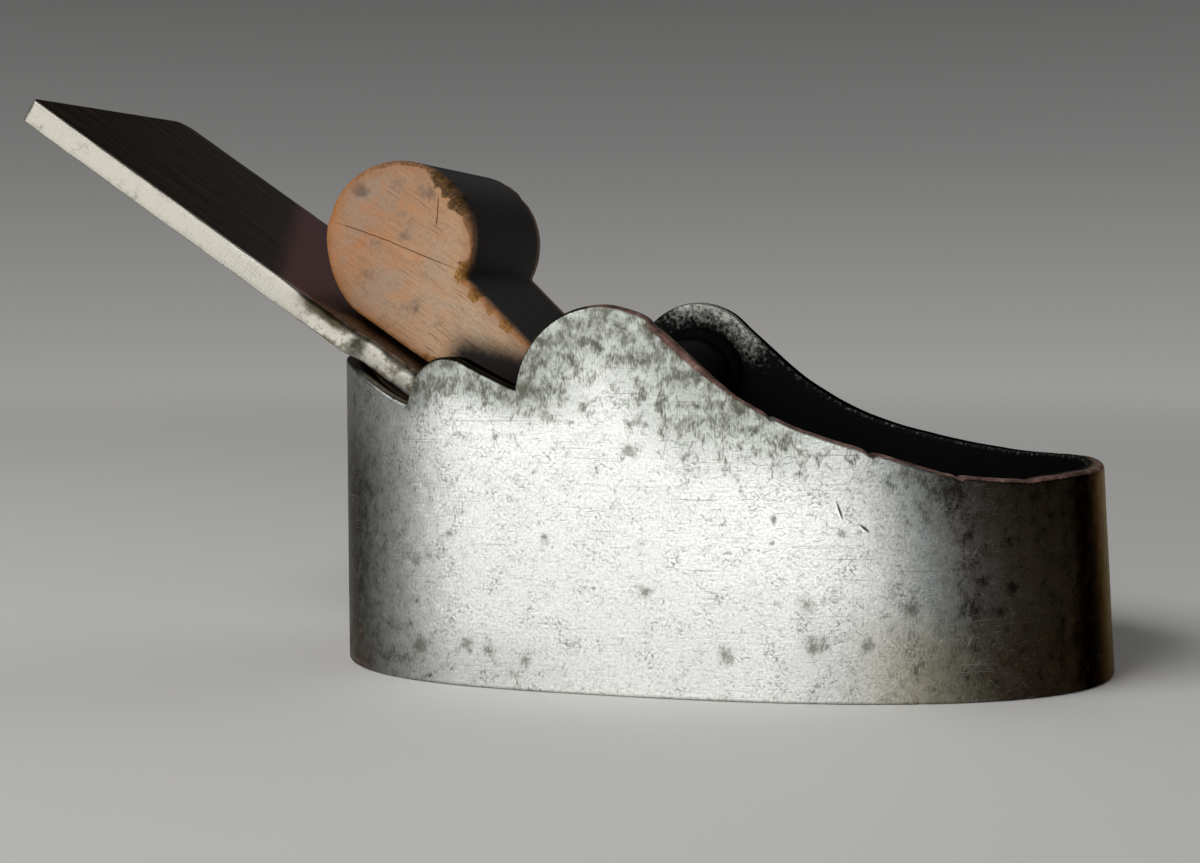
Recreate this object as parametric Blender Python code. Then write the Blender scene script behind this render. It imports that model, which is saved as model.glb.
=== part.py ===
"""An oval luthier's plane: a steel strip bent to an egg-shaped wall and brazed round a steel sole,
with a bevel-down iron on a wooden bed and a pear-shaped wooden wedge held under a round cross bar.

The origin is the middle of the sole face, +X points to the toe and +Z up. Lengths are in metres.
"""
import math

import bmesh
import bpy

# Body: a strip wall round an egg-shaped plan, widest behind the middle
BODY_LENGTH = 0.0807
BODY_WIDTH = 0.0498
WIDEST_X = -0.0085
HEEL_ROUNDNESS = 3.0
TOE_ROUNDNESS = 2.4
WALL = 0.0020
EDGE_ROUND = 0.0004
TOE_RAKE = math.radians(3.9)

# Rim of the wall, from the heel lip over the scallop, the notch and the hump to the toe
# The heel lip falls by this much over its run from the heel
LIP_FALL = 0.00475
LIP_RUN = 0.0140
LIP_GAP = 0.0003
SLOT_END_RUN = 0.0004
SCALLOP_X = -0.0240
SCALLOP_Z = 0.0283
SCALLOP_RADIUS = 0.0041
SCALLOP_START = math.radians(170.0)
SCALLOP_SLOPE = math.radians(23.9)
HUMP_X = -0.0080
HUMP_Z = 0.0290
HUMP_RADIUS = 0.0085
TOE_HEIGHT = 0.0213
# Points of the fall from hump to toe: metres ahead of the hump, share of the drop still to go
HUMP_FALL = ((0.0040, 0.932), (0.0070, 0.778), (0.0141, 0.420), (0.0232, 0.157))
TOE_SAG_FROM_TOE = 0.0105
TOE_SAG_SHARE = -0.006

# Sole, with the mouth for the iron
SOLE_THICKNESS = 0.0030
MOUTH_OPENING = 0.0009
MOUTH_SIDE = 0.0005
MOUTH_FRONT_LEAN = math.radians(20.0)

# Iron
BED_ANGLE = math.radians(34.0)
MOUTH_X = 0.0160
IRON_SIDE_ROOM = 0.0046
IRON_SHOULDER_DEPTH = 0.0010
IRON_SHOULDER_LENGTH = 0.0020
IRON_SHOULDER_CLEAR = 0.0020
IRON_THICKNESS = 0.0026
IRON_LENGTH = 0.1072
IRON_BEVEL = math.radians(25.0)
IRON_CORNER = 0.0018
EDGE_ABOVE_SOLE = 0.0003

# Cross bar that holds the wedge down
BAR_DIAMETER = 0.0083

# Wedge: a tapered tongue under the bar, with a round head above the rim
WEDGE_SIDE_INSET = 0.0058
WEDGE_TAPER = math.radians(10.5)
WEDGE_TIP_THICKNESS = 0.0012
WEDGE_HEAD_ALONG = 0.0653
WEDGE_HEAD_RADIUS = 0.0082
WEDGE_HEAD_LIFT = 0.0008
WEDGE_HEEL_ANGLE = math.radians(-45.0)
WEDGE_EDGE = 0.0005

# Bed block, its screws and the brazed joints
BED_FRONT_HEIGHT = 0.0050
SCREW_FROM_HEEL = 0.0120
SCREW_SPACING = 0.0140
SCREW_DIAMETER = 0.0030
SCREW_HEAD_DIAMETER = 0.0058
SCREW_LENGTH = 0.0120
SCREW_POINT = 0.0030
SCREW_SINK = 0.0001
SLOT_WIDTH = 0.0007
SLOT_DEPTH = 0.0005
BRAZE_LEG = 0.0012
SEAM_BRAZE_WIDTH = 0.0006

# Clearance between pieces that touch, and spare length of a cutter past what it cuts
GAP = 0.0003
OVERCUT = 0.0020
ROUND_SEGMENTS = 32
SHARP_ANGLE = math.radians(35.0)

# Sizes that follow from those above
HEEL_X = -BODY_LENGTH / 2
TOE_X = BODY_LENGTH / 2
SIN_BED = math.sin(BED_ANGLE)
COS_BED = math.cos(BED_ANGLE)
INNER_WIDTH = BODY_WIDTH - 2 * WALL
IRON_WIDTH = INNER_WIDTH - 2 * IRON_SIDE_ROOM
IRON_NECK_WIDTH = IRON_WIDTH - 2 * IRON_SHOULDER_DEPTH
WEDGE_WIDTH = IRON_WIDTH - 2 * WEDGE_SIDE_INSET
SLOT_END_X = SCALLOP_X + SCALLOP_RADIUS * math.cos(SCALLOP_START) - SLOT_END_RUN
SEAM_WIDTH = SEAM_BRAZE_WIDTH + 2 * GAP
REAR_SCREW_X = HEEL_X + SCREW_FROM_HEEL
SCREW_XS = (REAR_SCREW_X, REAR_SCREW_X + SCREW_SPACING)
BAR_RADIUS = BAR_DIAMETER / 2
SCREW_RADIUS = SCREW_DIAMETER / 2
SCREW_HEAD_RADIUS = SCREW_HEAD_DIAMETER / 2
SOLE_TOP = SOLE_THICKNESS
BED_FLOOR = SOLE_TOP + GAP


def to_iron(x, z):
    """Distance up the bed, from where the iron's top face meets the sole, and height over that face."""
    ahead = x - MOUTH_X
    return z * SIN_BED - ahead * COS_BED, ahead * SIN_BED + z * COS_BED


def iron_plane_z(x, height):
    """Z at X of the plane that lies parallel to the iron, this far over its top face."""
    return (MOUTH_X - x) * math.tan(BED_ANGLE) + height / COS_BED


def clear_scene():
    for item in list(bpy.data.objects):
        bpy.data.objects.remove(item, do_unlink=True)


def make_material(name, colour, roughness, metallic):
    material = bpy.data.materials.new(name)
    material.use_nodes = True
    shader = material.node_tree.nodes["Principled BSDF"]
    shader.inputs["Base Color"].default_value = (*colour, 1.0)
    shader.inputs["Roughness"].default_value = roughness
    shader.inputs["Metallic"].default_value = metallic
    return material


def add_object(name, points, faces, material, parent=None):
    """One closed mesh object, with its faces turned outward."""
    mesh = bpy.data.meshes.new(name)
    mesh.from_pydata(points, [], faces)
    work = bmesh.new()
    work.from_mesh(mesh)
    bmesh.ops.recalc_face_normals(work, faces=work.faces)
    work.to_mesh(mesh)
    work.free()
    mesh.shade_smooth()
    mesh.set_sharp_from_angle(angle=SHARP_ANGLE)
    item = bpy.data.objects.new(name, mesh)
    if material:
        item.data.materials.append(material)
    item.parent = parent
    bpy.context.scene.collection.objects.link(item)
    return item


def add_cutter(name, points, faces):
    cutter = add_object(name, points, faces, None)
    cutter.hide_render = True
    cutter.display_type = "WIRE"
    return cutter


def cut(item, cutter):
    modifier = item.modifiers.new(cutter.name, "BOOLEAN")
    modifier.operation = "DIFFERENCE"
    modifier.solver = "EXACT"
    modifier.object = cutter


def add_guide(name):
    """Empty on the line that a sliding piece follows: local X up the bed, local Z off the iron."""
    guide = bpy.data.objects.new(name, None)
    guide.location = (MOUTH_X, 0.0, 0.0)
    guide.rotation_euler = (0.0, -BED_ANGLE, math.pi)
    bpy.context.scene.collection.objects.link(guide)
    return guide


def loft(rings, closed):
    """Points and quads through rings of equal length. A closed loft joins its last ring to its first,
    and an open one has its end rings filled."""
    count = len(rings[0])
    points = [point for ring in rings for point in ring]
    faces = []
    last = len(rings) if closed else len(rings) - 1
    for level in range(last):
        upper = (level + 1) % len(rings)
        for index in range(count):
            after = (index + 1) % count
            faces.append((level * count + index, level * count + after,
                          upper * count + after, upper * count + index))
    if not closed:
        faces.append(tuple(range(count)))
        faces.append(tuple((len(rings) - 1) * count + index for index in range(count)))
    return points, faces


def turned(profile, centre, axis):
    """Loft of a (radius, distance) profile turned about the Y or Z axis through a centre."""
    rings = []
    for radius, distance in profile:
        ring = []
        for step in range(ROUND_SEGMENTS):
            angle = 2 * math.pi * step / ROUND_SEGMENTS
            across = radius * math.cos(angle)
            up = radius * math.sin(angle)
            offset = (across, distance, up) if axis == "Y" else (across, up, distance)
            ring.append(tuple(c + o for c, o in zip(centre, offset)))
        rings.append(ring)
    return rings


def prism(outline, half_width):
    """Loft across Y of an outline in the XZ plane."""
    near = [(x, -half_width, z) for x, z in outline]
    far = [(x, half_width, z) for x, z in outline]
    return loft([near, far], closed=False)


def half_width(x, inset):
    """Half the plan's width at X, for the outline set in from the outer wall."""
    half = BODY_WIDTH / 2 - inset
    if x < WIDEST_X:
        reach = WIDEST_X - HEEL_X - inset
        roundness = HEEL_ROUNDNESS
    else:
        reach = TOE_X - WIDEST_X - inset
        roundness = TOE_ROUNDNESS
    share = min(abs(x - WIDEST_X) / reach, 1.0)
    return half * (1.0 - share ** roundness) ** (1.0 / roundness)


def plan_angle(x):
    """Angle of the outer plan at X: a half turn at the heel, zero at the toe."""
    if x < WIDEST_X:
        share = (WIDEST_X - x) / (WIDEST_X - HEEL_X)
        return math.pi - math.acos(min(share, 1.0) ** (HEEL_ROUNDNESS / 2))
    share = (x - WIDEST_X) / (TOE_X - WIDEST_X)
    return math.acos(min(share, 1.0) ** (TOE_ROUNDNESS / 2))


def plan_point(angle, inset):
    """X and half width of the plan at an angle, set in from the outer wall."""
    cosine = math.cos(angle)
    roundness = HEEL_ROUNDNESS if cosine < 0 else TOE_ROUNDNESS
    reach = WIDEST_X - HEEL_X if cosine < 0 else TOE_X - WIDEST_X
    ahead = math.copysign(abs(cosine) ** (2 / roundness), cosine)
    aside = max(math.sin(angle), 0.0) ** (2 / roundness)
    return WIDEST_X + (reach - inset) * ahead, (BODY_WIDTH / 2 - inset) * aside


def wall_point(angle, inset, side, z):
    """Point of the wall, whose toe leans back as it rises."""
    x, aside = plan_point(angle, inset)
    share = max(x - WIDEST_X, 0.0) / (TOE_X - WIDEST_X)
    return x - z * math.tan(TOE_RAKE) * share ** 2, side * aside, z


def even_angles(first, last, count):
    return [first + (last - first) * step / (count - 1) for step in range(count)]


def heel_crossing(width, inset):
    """X where a strip of this width, along the middle, passes a face of the heel wall."""
    share = width / (BODY_WIDTH - 2 * inset)
    reach = WIDEST_X - HEEL_X - inset
    return WIDEST_X - reach * (1.0 - share ** HEEL_ROUNDNESS) ** (1.0 / HEEL_ROUNDNESS)


def lip_share(x):
    """Share of the heel lip's fall at X: level at the heel and at the end of its run."""
    t = min(max((x - HEEL_X) / LIP_RUN, 0.0), 1.0)
    return t * t * (3 - 2 * t)


def lip_height(x):
    """Height of the heel lip: highest at the heel, and clear of the underside of the iron's neck."""
    crossing = heel_crossing(IRON_NECK_WIDTH, WALL)
    seat = iron_plane_z(crossing, -IRON_THICKNESS) - LIP_GAP
    return seat + LIP_FALL * (lip_share(crossing) - lip_share(x))


def smooth_curve(knots, x):
    """Cubic curve through knots in rising X, level at its first knot."""
    slopes = [0.0]
    for before, after in zip(knots, knots[2:]):
        slopes.append((after[1] - before[1]) / (after[0] - before[0]))
    slopes.append((knots[-1][1] - knots[-2][1]) / (knots[-1][0] - knots[-2][0]))
    index = max(i for i, knot in enumerate(knots[:-1]) if knot[0] <= x)
    (x0, z0), (x1, z1) = knots[index], knots[index + 1]
    span = x1 - x0
    t = (x - x0) / span
    rise = z0 * (1 + 2 * t) * (1 - t) ** 2 + z1 * t ** 2 * (3 - 2 * t)
    return rise + span * (slopes[index] * t * (1 - t) ** 2 - slopes[index + 1] * t ** 2 * (1 - t))


def rim_points():
    """X and Z of the rim from the end of the slot to the toe, the same on both sides of the body."""
    points = []
    # Scallop: from the end of the slot over the top to the straight run into the notch
    for angle in even_angles(SCALLOP_START, math.pi / 2 - SCALLOP_SLOPE, 8):
        points.append((SCALLOP_X + SCALLOP_RADIUS * math.cos(angle),
                       SCALLOP_Z + SCALLOP_RADIUS * math.sin(angle)))
    # Hump: it rises from the notch, where the scallop's straight run meets the hump's circle
    run_x, run_z = points[-1]
    below = (HUMP_X - run_x) * math.sin(SCALLOP_SLOPE) + (HUMP_Z - run_z) * math.cos(SCALLOP_SLOPE)
    notch = math.pi - SCALLOP_SLOPE + math.asin(below / HUMP_RADIUS)
    for angle in even_angles(notch, math.pi / 2, 10):
        points.append((HUMP_X + HUMP_RADIUS * math.cos(angle), HUMP_Z + HUMP_RADIUS * math.sin(angle)))
    # Fall to the toe
    top = HUMP_Z + HUMP_RADIUS
    drop = top - TOE_HEIGHT
    knots = [(HUMP_X, top)]
    knots += [(HUMP_X + ahead, TOE_HEIGHT + drop * share) for ahead, share in HUMP_FALL]
    knots += [(TOE_X - TOE_SAG_FROM_TOE, TOE_HEIGHT + drop * TOE_SAG_SHARE), (TOE_X, TOE_HEIGHT)]
    for angle in even_angles(plan_angle(HUMP_X), 0.0, 26)[1:]:
        x = plan_point(angle, 0.0)[0]
        points.append((x, smooth_curve(knots, x)))
    return points


def make_body_band(material):
    """Wall: one strip whose ends stop either side of the seam at the heel."""
    seam = math.pi - math.asin((SEAM_WIDTH / BODY_WIDTH) ** (HEEL_ROUNDNESS / 2))
    stations = [(angle, None) for angle in even_angles(seam, plan_angle(SLOT_END_X), 14)]
    stations += [(plan_angle(x), z) for x, z in rim_points()]

    def section(angle, side, rim):
        ring = []
        edges = ((0.0, EDGE_ROUND), (EDGE_ROUND, 0.0), (WALL - EDGE_ROUND, 0.0), (WALL, EDGE_ROUND))
        for inset, fall in edges:
            top = lip_height(plan_point(angle, inset)[0]) if rim is None else rim
            ring.append(wall_point(angle, inset, side, top - fall))
        return [wall_point(angle, 0.0, side, 0.0)] + ring + [wall_point(angle, WALL, side, 0.0)]

    rings = [section(angle, -1.0, rim) for angle, rim in stations]
    rings += [section(angle, 1.0, rim) for angle, rim in reversed(stations[:-1])]
    for ring, side in ((rings[0], -1.0), (rings[-1], 1.0)):
        ring[:] = [(x, side * SEAM_WIDTH / 2, z) for x, _, z in ring]
    return add_object("body_band", *loft(rings, closed=False), material)


def make_seam_braze(material):
    """Filler between the ends of the strip."""
    inner = HEEL_X + WALL
    outline = ((HEEL_X, 0.0), (inner, 0.0), (inner, lip_height(inner) - EDGE_ROUND),
               (HEEL_X, lip_height(HEEL_X) - EDGE_ROUND))
    return add_object("seam_braze", *prism(outline, SEAM_BRAZE_WIDTH / 2), material)


def plan_ring(inset, z, count=64):
    ring = []
    for step in range(count):
        turn = math.pi * 2 * step / count
        side = -1.0 if turn <= math.pi else 1.0
        angle = math.pi - turn if turn <= math.pi else turn - math.pi
        ring.append(wall_point(angle, inset, side, z))
    return ring


def mouth_cutter():
    """Opening in the sole: its back follows the iron's underside, its front leans forward."""
    low = -OVERCUT
    high = SOLE_TOP + OVERCUT
    under = -IRON_THICKNESS - GAP
    back = [(MOUTH_X + under / SIN_BED - z / math.tan(BED_ANGLE), z) for z in (low, high)]
    front = [(MOUTH_X + MOUTH_OPENING + z * math.tan(MOUTH_FRONT_LEAN), z) for z in (high, low)]
    return add_cutter("mouth_cutter", *prism(back + front, IRON_NECK_WIDTH / 2 + MOUTH_SIDE))


def screw_profile(spare):
    """Profile of a countersunk wood screw, grown by a clearance for its hole."""
    head = SCREW_HEAD_RADIUS - SCREW_RADIUS
    floor = SCREW_SINK if spare == 0.0 else -OVERCUT
    tip = SCREW_SINK + SCREW_LENGTH
    profile = [(SCREW_HEAD_RADIUS + spare, floor)]
    if spare:
        profile.append((SCREW_HEAD_RADIUS + spare, SCREW_SINK))
    profile += [(SCREW_RADIUS + spare, SCREW_SINK + head), (SCREW_RADIUS + spare, tip - SCREW_POINT),
                (SCREW_RADIUS / 4 + spare, tip + spare)]
    return profile


def screw_cutter(x, name):
    rings = turned(screw_profile(GAP), (x, 0.0, 0.0), "Z")
    return add_cutter(name, *loft(rings, closed=False))


def make_sole_plate(material, cutters):
    rings = [plan_ring(WALL + GAP, 0.0), plan_ring(WALL + GAP, SOLE_TOP)]
    sole = add_object("sole_plate", *loft(rings, closed=False), material)
    cut(sole, mouth_cutter())
    for cutter in cutters:
        cut(sole, cutter)
    return sole


def make_sole_braze(material):
    """Fillet of filler in the corner between the sole and the wall."""
    near_wall = WALL + GAP
    section = ((near_wall, BED_FLOOR), (near_wall, BED_FLOOR + BRAZE_LEG), (near_wall + BRAZE_LEG, BED_FLOOR))
    rings = [plan_ring(inset, z) for inset, z in section]
    return add_object("sole_braze", *loft(rings, closed=True), material)


def make_bed_block(material, cutters):
    """Block under the iron: it fills the heel, and its foot clears the fillet of filler."""
    foot = BRAZE_LEG + 2 * GAP
    under = -IRON_THICKNESS - GAP
    front = MOUTH_X + under / SIN_BED - (BED_FLOOR + BED_FRONT_HEIGHT) / math.tan(BED_ANGLE)
    angles = even_angles(math.pi, plan_angle(front), 20)
    near_wall = WALL + GAP

    def outline(inset):
        near = [plan_point(angle, inset) for angle in angles]
        near[-1] = (front, half_width(front, inset))
        return [(x, -aside) for x, aside in near] + [(x, aside) for x, aside in reversed(near[1:])]

    wide = outline(near_wall)
    rings = [[(x, y, BED_FLOOR) for x, y in outline(near_wall + foot)],
             [(x, y, BED_FLOOR + foot) for x, y in wide],
             [(x, y, iron_plane_z(x, under)) for x, y in wide]]
    block = add_object("bed_block", *loft(rings, closed=False), material)
    for cutter in cutters:
        cut(block, cutter)
    return block


def make_bed_screw(name, x, material):
    screw = add_object(name, *loft(turned(screw_profile(0.0), (x, 0.0, 0.0), "Z"), closed=False), material)
    reach = SCREW_HEAD_RADIUS + OVERCUT
    top = SCREW_SINK + SLOT_DEPTH
    half = SLOT_WIDTH / 2
    outline = ((x - half, -OVERCUT), (x + half, -OVERCUT), (x + half, top), (x - half, top))
    cut(screw, add_cutter(name + "_slot", *prism(outline, reach)))
    return screw


def make_cross_bar(material):
    """Round bar between the walls, in the middle of the humps."""
    reach = half_width(HUMP_X, WALL) - GAP
    profile = [(BAR_RADIUS, -reach), (BAR_RADIUS, reach)]
    return add_object("cross_bar", *loft(turned(profile, (HUMP_X, 0.0, HUMP_Z), "Y"), closed=False), material)


def make_bar_braze(name, side, material):
    """Collar of filler round one end of the bar."""
    seat = side * (half_width(HUMP_X, WALL) - GAP)
    inner = BAR_RADIUS + GAP
    profile = [(inner, seat), (inner + BRAZE_LEG, seat), (inner, seat - side * BRAZE_LEG)]
    return add_object(name, *loft(turned(profile, (HUMP_X, 0.0, HUMP_Z), "Y"), closed=True), material)


def make_cutting_iron(material, guide):
    """Flat iron with a bevel under its edge and round corners at its tail, in its guide's frame."""
    edge = EDGE_ABOVE_SOLE / SIN_BED
    bevel = IRON_THICKNESS / math.tan(IRON_BEVEL)
    tail = edge + IRON_LENGTH
    half = IRON_WIDTH / 2
    neck = IRON_NECK_WIDTH / 2
    wall = heel_crossing(IRON_WIDTH, 0.0)
    neck_end = to_iron(wall, iron_plane_z(wall, -IRON_THICKNESS))[0] + IRON_SHOULDER_CLEAR
    shoulder = neck_end + IRON_SHOULDER_LENGTH

    def outline(start, height):
        ring = [(shoulder, half, height), (neck_end, neck, height), (start, neck, height),
                (start, -neck, height), (neck_end, -neck, height), (shoulder, -half, height)]
        for side in (-1.0, 1.0):
            turn = even_angles(0.0, math.pi / 2, 6)
            corner = [(tail - IRON_CORNER * (1 - math.cos(angle)),
                       side * (half - IRON_CORNER * (1 - math.sin(angle))), height) for angle in turn]
            ring += corner[::-1] if side < 0 else corner
        return ring

    rings = [outline(edge, 0.0), outline(edge + bevel, -IRON_THICKNESS)]
    return add_object("cutting_iron", *loft(rings, closed=False), material, guide)


def wedge_outline():
    """Outline in the iron's frame: flat underside, round head, and a front that clears the bar."""
    bar_along, bar_height = to_iron(HUMP_X, HUMP_Z)
    slope = math.tan(WEDGE_TAPER)
    rise = bar_height - (BAR_RADIUS + GAP) / math.cos(WEDGE_TAPER) - bar_along * slope

    def front(along):
        return rise + along * slope

    def on_head(angle):
        along = WEDGE_HEAD_ALONG + WEDGE_HEAD_RADIUS * math.cos(angle)
        return along, centre + WEDGE_HEAD_RADIUS * math.sin(angle)

    # The head's circle ends where it crosses the line of the front
    centre = GAP + WEDGE_HEAD_LIFT + WEDGE_HEAD_RADIUS
    below = (centre - front(WEDGE_HEAD_ALONG)) * math.cos(WEDGE_TAPER)
    meet = math.pi + WEDGE_TAPER + math.asin(below / WEDGE_HEAD_RADIUS)
    tip = (GAP + WEDGE_TIP_THICKNESS - rise) / slope
    points = [(tip, GAP + WEDGE_TIP_THICKNESS), (tip, GAP)]
    # The heel of the underside curves up into the head
    heel_along, heel_height = on_head(WEDGE_HEEL_ANGLE)
    corner = heel_along - (heel_height - GAP) / math.tan(-WEDGE_HEEL_ANGLE)
    foot = 2 * corner - heel_along
    for step in range(6):
        t = step / 5
        points.append(((1 - t) ** 2 * foot + 2 * t * (1 - t) * corner + t * t * heel_along,
                       GAP + t * t * (heel_height - GAP)))
    points += [on_head(angle) for angle in even_angles(WEDGE_HEEL_ANGLE, meet, 28)[1:]]
    return points


def make_wedge(material, guide):
    wedge = add_object("wedge", *prism(wedge_outline(), WEDGE_WIDTH / 2), material, guide)
    soften = wedge.modifiers.new("worn_edges", "BEVEL")
    soften.width = WEDGE_EDGE
    soften.segments = 2
    soften.limit_method = "ANGLE"
    soften.angle_limit = math.radians(60.0)
    return wedge


def main():
    clear_scene()
    steel = make_material("worn steel", (0.56, 0.56, 0.54), 0.38, 1.0)
    dark_steel = make_material("dark steel", (0.10, 0.09, 0.08), 0.42, 1.0)
    braze = make_material("copper braze", (0.42, 0.17, 0.11), 0.50, 1.0)
    pear = make_material("red-brown hardwood", (0.33, 0.15, 0.07), 0.60, 0.0)
    infill = make_material("oiled dark wood", (0.06, 0.035, 0.02), 0.60, 0.0)
    screw_cutters = [screw_cutter(x, f"screw_cutter_{index}") for index, x in enumerate(SCREW_XS, 1)]
    make_body_band(steel)
    make_seam_braze(braze)
    make_sole_plate(steel, screw_cutters)
    make_sole_braze(braze)
    make_bed_block(infill, screw_cutters)
    for index, x in enumerate(SCREW_XS, 1):
        make_bed_screw(f"bed_screw_{index}", x, dark_steel)
    make_cross_bar(dark_steel)
    make_bar_braze("near_bar_braze", -1.0, braze)
    make_bar_braze("far_bar_braze", 1.0, braze)
    make_cutting_iron(dark_steel, add_guide("iron_guide"))
    make_wedge(pear, add_guide("wedge_guide"))


main()
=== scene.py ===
# %% [markdown]
# A small oval plane, as a violin maker uses it. A steel strip is bent to an egg-shaped wall and brazed
# round a sole. A thick iron lies on a wooden bed at 34 degrees and leaves over the cut-down heel, and a
# pear-shaped wooden wedge jams it under a round bar between the two humps of the wall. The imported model
# already holds every piece at its true place and size, so this lesson keeps that frame and gives the
# pieces their worn surfaces.

import math

import bpy
import numpy as np
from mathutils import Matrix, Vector, noise
from mathutils.geometry import delaunay_2d_cdt


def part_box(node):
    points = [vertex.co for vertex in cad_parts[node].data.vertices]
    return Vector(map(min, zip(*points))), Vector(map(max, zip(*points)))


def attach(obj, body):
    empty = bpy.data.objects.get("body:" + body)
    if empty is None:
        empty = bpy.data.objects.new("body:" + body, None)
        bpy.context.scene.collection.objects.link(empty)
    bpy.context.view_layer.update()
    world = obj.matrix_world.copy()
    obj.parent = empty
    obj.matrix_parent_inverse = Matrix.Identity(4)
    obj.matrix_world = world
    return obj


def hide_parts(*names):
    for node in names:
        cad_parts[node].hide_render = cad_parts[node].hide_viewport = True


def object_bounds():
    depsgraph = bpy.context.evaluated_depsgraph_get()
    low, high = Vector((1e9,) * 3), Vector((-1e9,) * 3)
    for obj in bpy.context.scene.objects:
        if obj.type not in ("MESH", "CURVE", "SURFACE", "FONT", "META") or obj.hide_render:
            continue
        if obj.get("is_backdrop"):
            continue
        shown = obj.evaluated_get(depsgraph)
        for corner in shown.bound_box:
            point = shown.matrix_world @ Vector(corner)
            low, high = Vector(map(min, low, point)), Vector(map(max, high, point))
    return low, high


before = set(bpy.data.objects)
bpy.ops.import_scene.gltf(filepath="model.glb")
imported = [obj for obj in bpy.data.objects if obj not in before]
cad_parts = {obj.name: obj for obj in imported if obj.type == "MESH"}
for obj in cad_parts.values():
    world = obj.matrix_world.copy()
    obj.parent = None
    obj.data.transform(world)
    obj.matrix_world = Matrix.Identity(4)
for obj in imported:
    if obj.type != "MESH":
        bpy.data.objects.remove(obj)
cad_low, cad_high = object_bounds()
MM = 0.001
print("packed plane, mm:", [round((high - low) / MM, 1) for low, high in zip(cad_low, cad_high)])

# %% [markdown]
# Colours are read off in the usual hex form, which is meant for a screen. Blender's shaders add and
# multiply light, so each one is turned to linear values first. Every finish below is a small tree of
# nodes. One helper adds a node, sets it, joins it to what comes before and gives back its output. Two
# more make what every finish needs: noise drawn out along a surface, and a mask with a ragged edge.

# %% Helpers for colours and nodes
SOFT = {"interpolation_type": "SMOOTHSTEP"}
COLOUR = {"data_type": "RGBA"}


def linear(code):
    """Linear colour of an sRGB hex code."""
    shares = [int(code[start:start + 2], 16) / 255 for start in (1, 3, 5)]
    return tuple(s / 12.92 if s <= 0.04045 else ((s + 0.055) / 1.055) ** 2.4 for s in shares) + (1.0,)


def join(tree, node, values):
    """Gives inputs, by name or in order, a value, a hex colour or the output of another node."""
    named = isinstance(values, dict)
    sockets = node.inputs if named else [socket for socket in node.inputs if socket.enabled]
    for key, value in values.items() if named else enumerate(values):
        if isinstance(value, bpy.types.NodeSocket):
            tree.links.new(value, sockets[key])
        elif value is not None:
            sockets[key].default_value = linear(value) if isinstance(value, str) else value


def add(tree, kind, values=(), take=None, stops=(), **settings):
    """One node with its settings and inputs. Gives back its first output in use, or the one to take."""
    node = tree.nodes.new(kind if "Node" in kind else "ShaderNode" + kind)
    for name, value in settings.items():
        setattr(node, name, value)
    join(tree, node, values)
    for index, (place, code) in enumerate([*stops[:1], *stops[-1:], *stops[1:-1]]):
        marks = node.color_ramp.elements
        mark = marks[index] if index < 2 else marks.new(place)
        mark.position = place
        mark.color = linear(code)
    return node.outputs[take] if take else next((out for out in node.outputs if out.enabled), node)


def drawn_out(tree, place, lengths, detail=2.0, rough=0.5, bend=0.0, lean=0.0):
    """Noise whose grain has these lengths, along, across and over the surface."""
    laid = add(tree, "Mapping", {"Vector": place, "Rotation": (0.0, 0.0, math.radians(lean)),
                                 "Scale": [1 / length for length in lengths]})
    return add(tree, "TexNoise", (laid, 1.0, detail, rough, None, bend))


def ragged(tree, parts, low, high, most=1.0, **style):
    """Mask of a field that noise breaks up. The parts are one of them, its weight and the other."""
    total = add(tree, "Math", parts, operation="MULTIPLY_ADD")
    return add(tree, "MapRange", (total, low, high, 0.0, most), **style)


def start_finish(name):
    """A new material with its tree and its main shader."""
    finish = bpy.data.materials.new(name)
    finish.use_nodes = True
    return finish, finish.node_tree, finish.node_tree.nodes["Principled BSDF"]


# %% [markdown]
# The photograph was taken from just in front of the near wall, a little above the sole and turned a
# little towards the toe. The camera repeats that place and its angle of view, with no shift.

# %% Camera at the photograph's viewpoint
PHOTO_WIDTH = 1200
FOCAL_PIXELS = 1764.8
SENSOR_WIDTH = 36.0
CAMERA_YAW = math.radians(14.356)
CAMERA_PITCH = math.radians(4.381)
CAMERA_PLACE = (0.03348, -0.18710, 0.03830)

scene = bpy.context.scene
lens = bpy.data.cameras.new("photo_camera")
lens.sensor_fit = "HORIZONTAL"
lens.sensor_width = SENSOR_WIDTH
lens.lens = FOCAL_PIXELS * SENSOR_WIDTH / PHOTO_WIDTH
lens.clip_start = 0.005
camera = bpy.data.objects.new("photo_camera", lens)
camera.location = CAMERA_PLACE
camera.rotation_euler = (math.pi / 2 - CAMERA_PITCH, 0.0, CAMERA_YAW)
scene.collection.objects.link(camera)
scene.camera = camera
print("lens, mm:", round(lens.lens, 1))

# %% [markdown]
# The wall is bright in its middle and dark towards the toe, so the light came from in front, left of the
# camera. Polished steel shows what stands round it, so a lamp alone would leave it grey: two low, faint
# panels stand in for the white cards that a photographer puts in front of metal. A high soft lamp at the
# left lights the wood and the floor, and a weak one behind lifts the back. The world is grey, darker
# overhead, and the pale floor fades into it, so that no horizon shows from any side.

# %% Studio light
# Greys of the world by the sine of the angle above the horizon
WORLD_GREYS = ((-0.14, "#b0afac"), (0.0, "#8e8d8b"), (0.08, "#757574"), (0.20, "#565655"), (0.45, "#131313"))
# Each lamp: turn from straight in front and rise over the floor in degrees, distance, width and height
# in metres, and power in watts
LAMPS = {"key_light": (-40.0, 46.0, 0.80, 0.50, 0.40, 3.2),
         "left_card": (-27.0, 8.0, 0.80, 0.75, 0.24, 1.6),
         "right_card": (10.0, 8.0, 0.80, 0.36, 0.24, 1.05),
         "back_fill": (165.0, 50.0, 0.90, 0.60, 0.60, 0.8)}
LAMP_TARGET = Vector((0.0, 0.0, 0.02))

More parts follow.
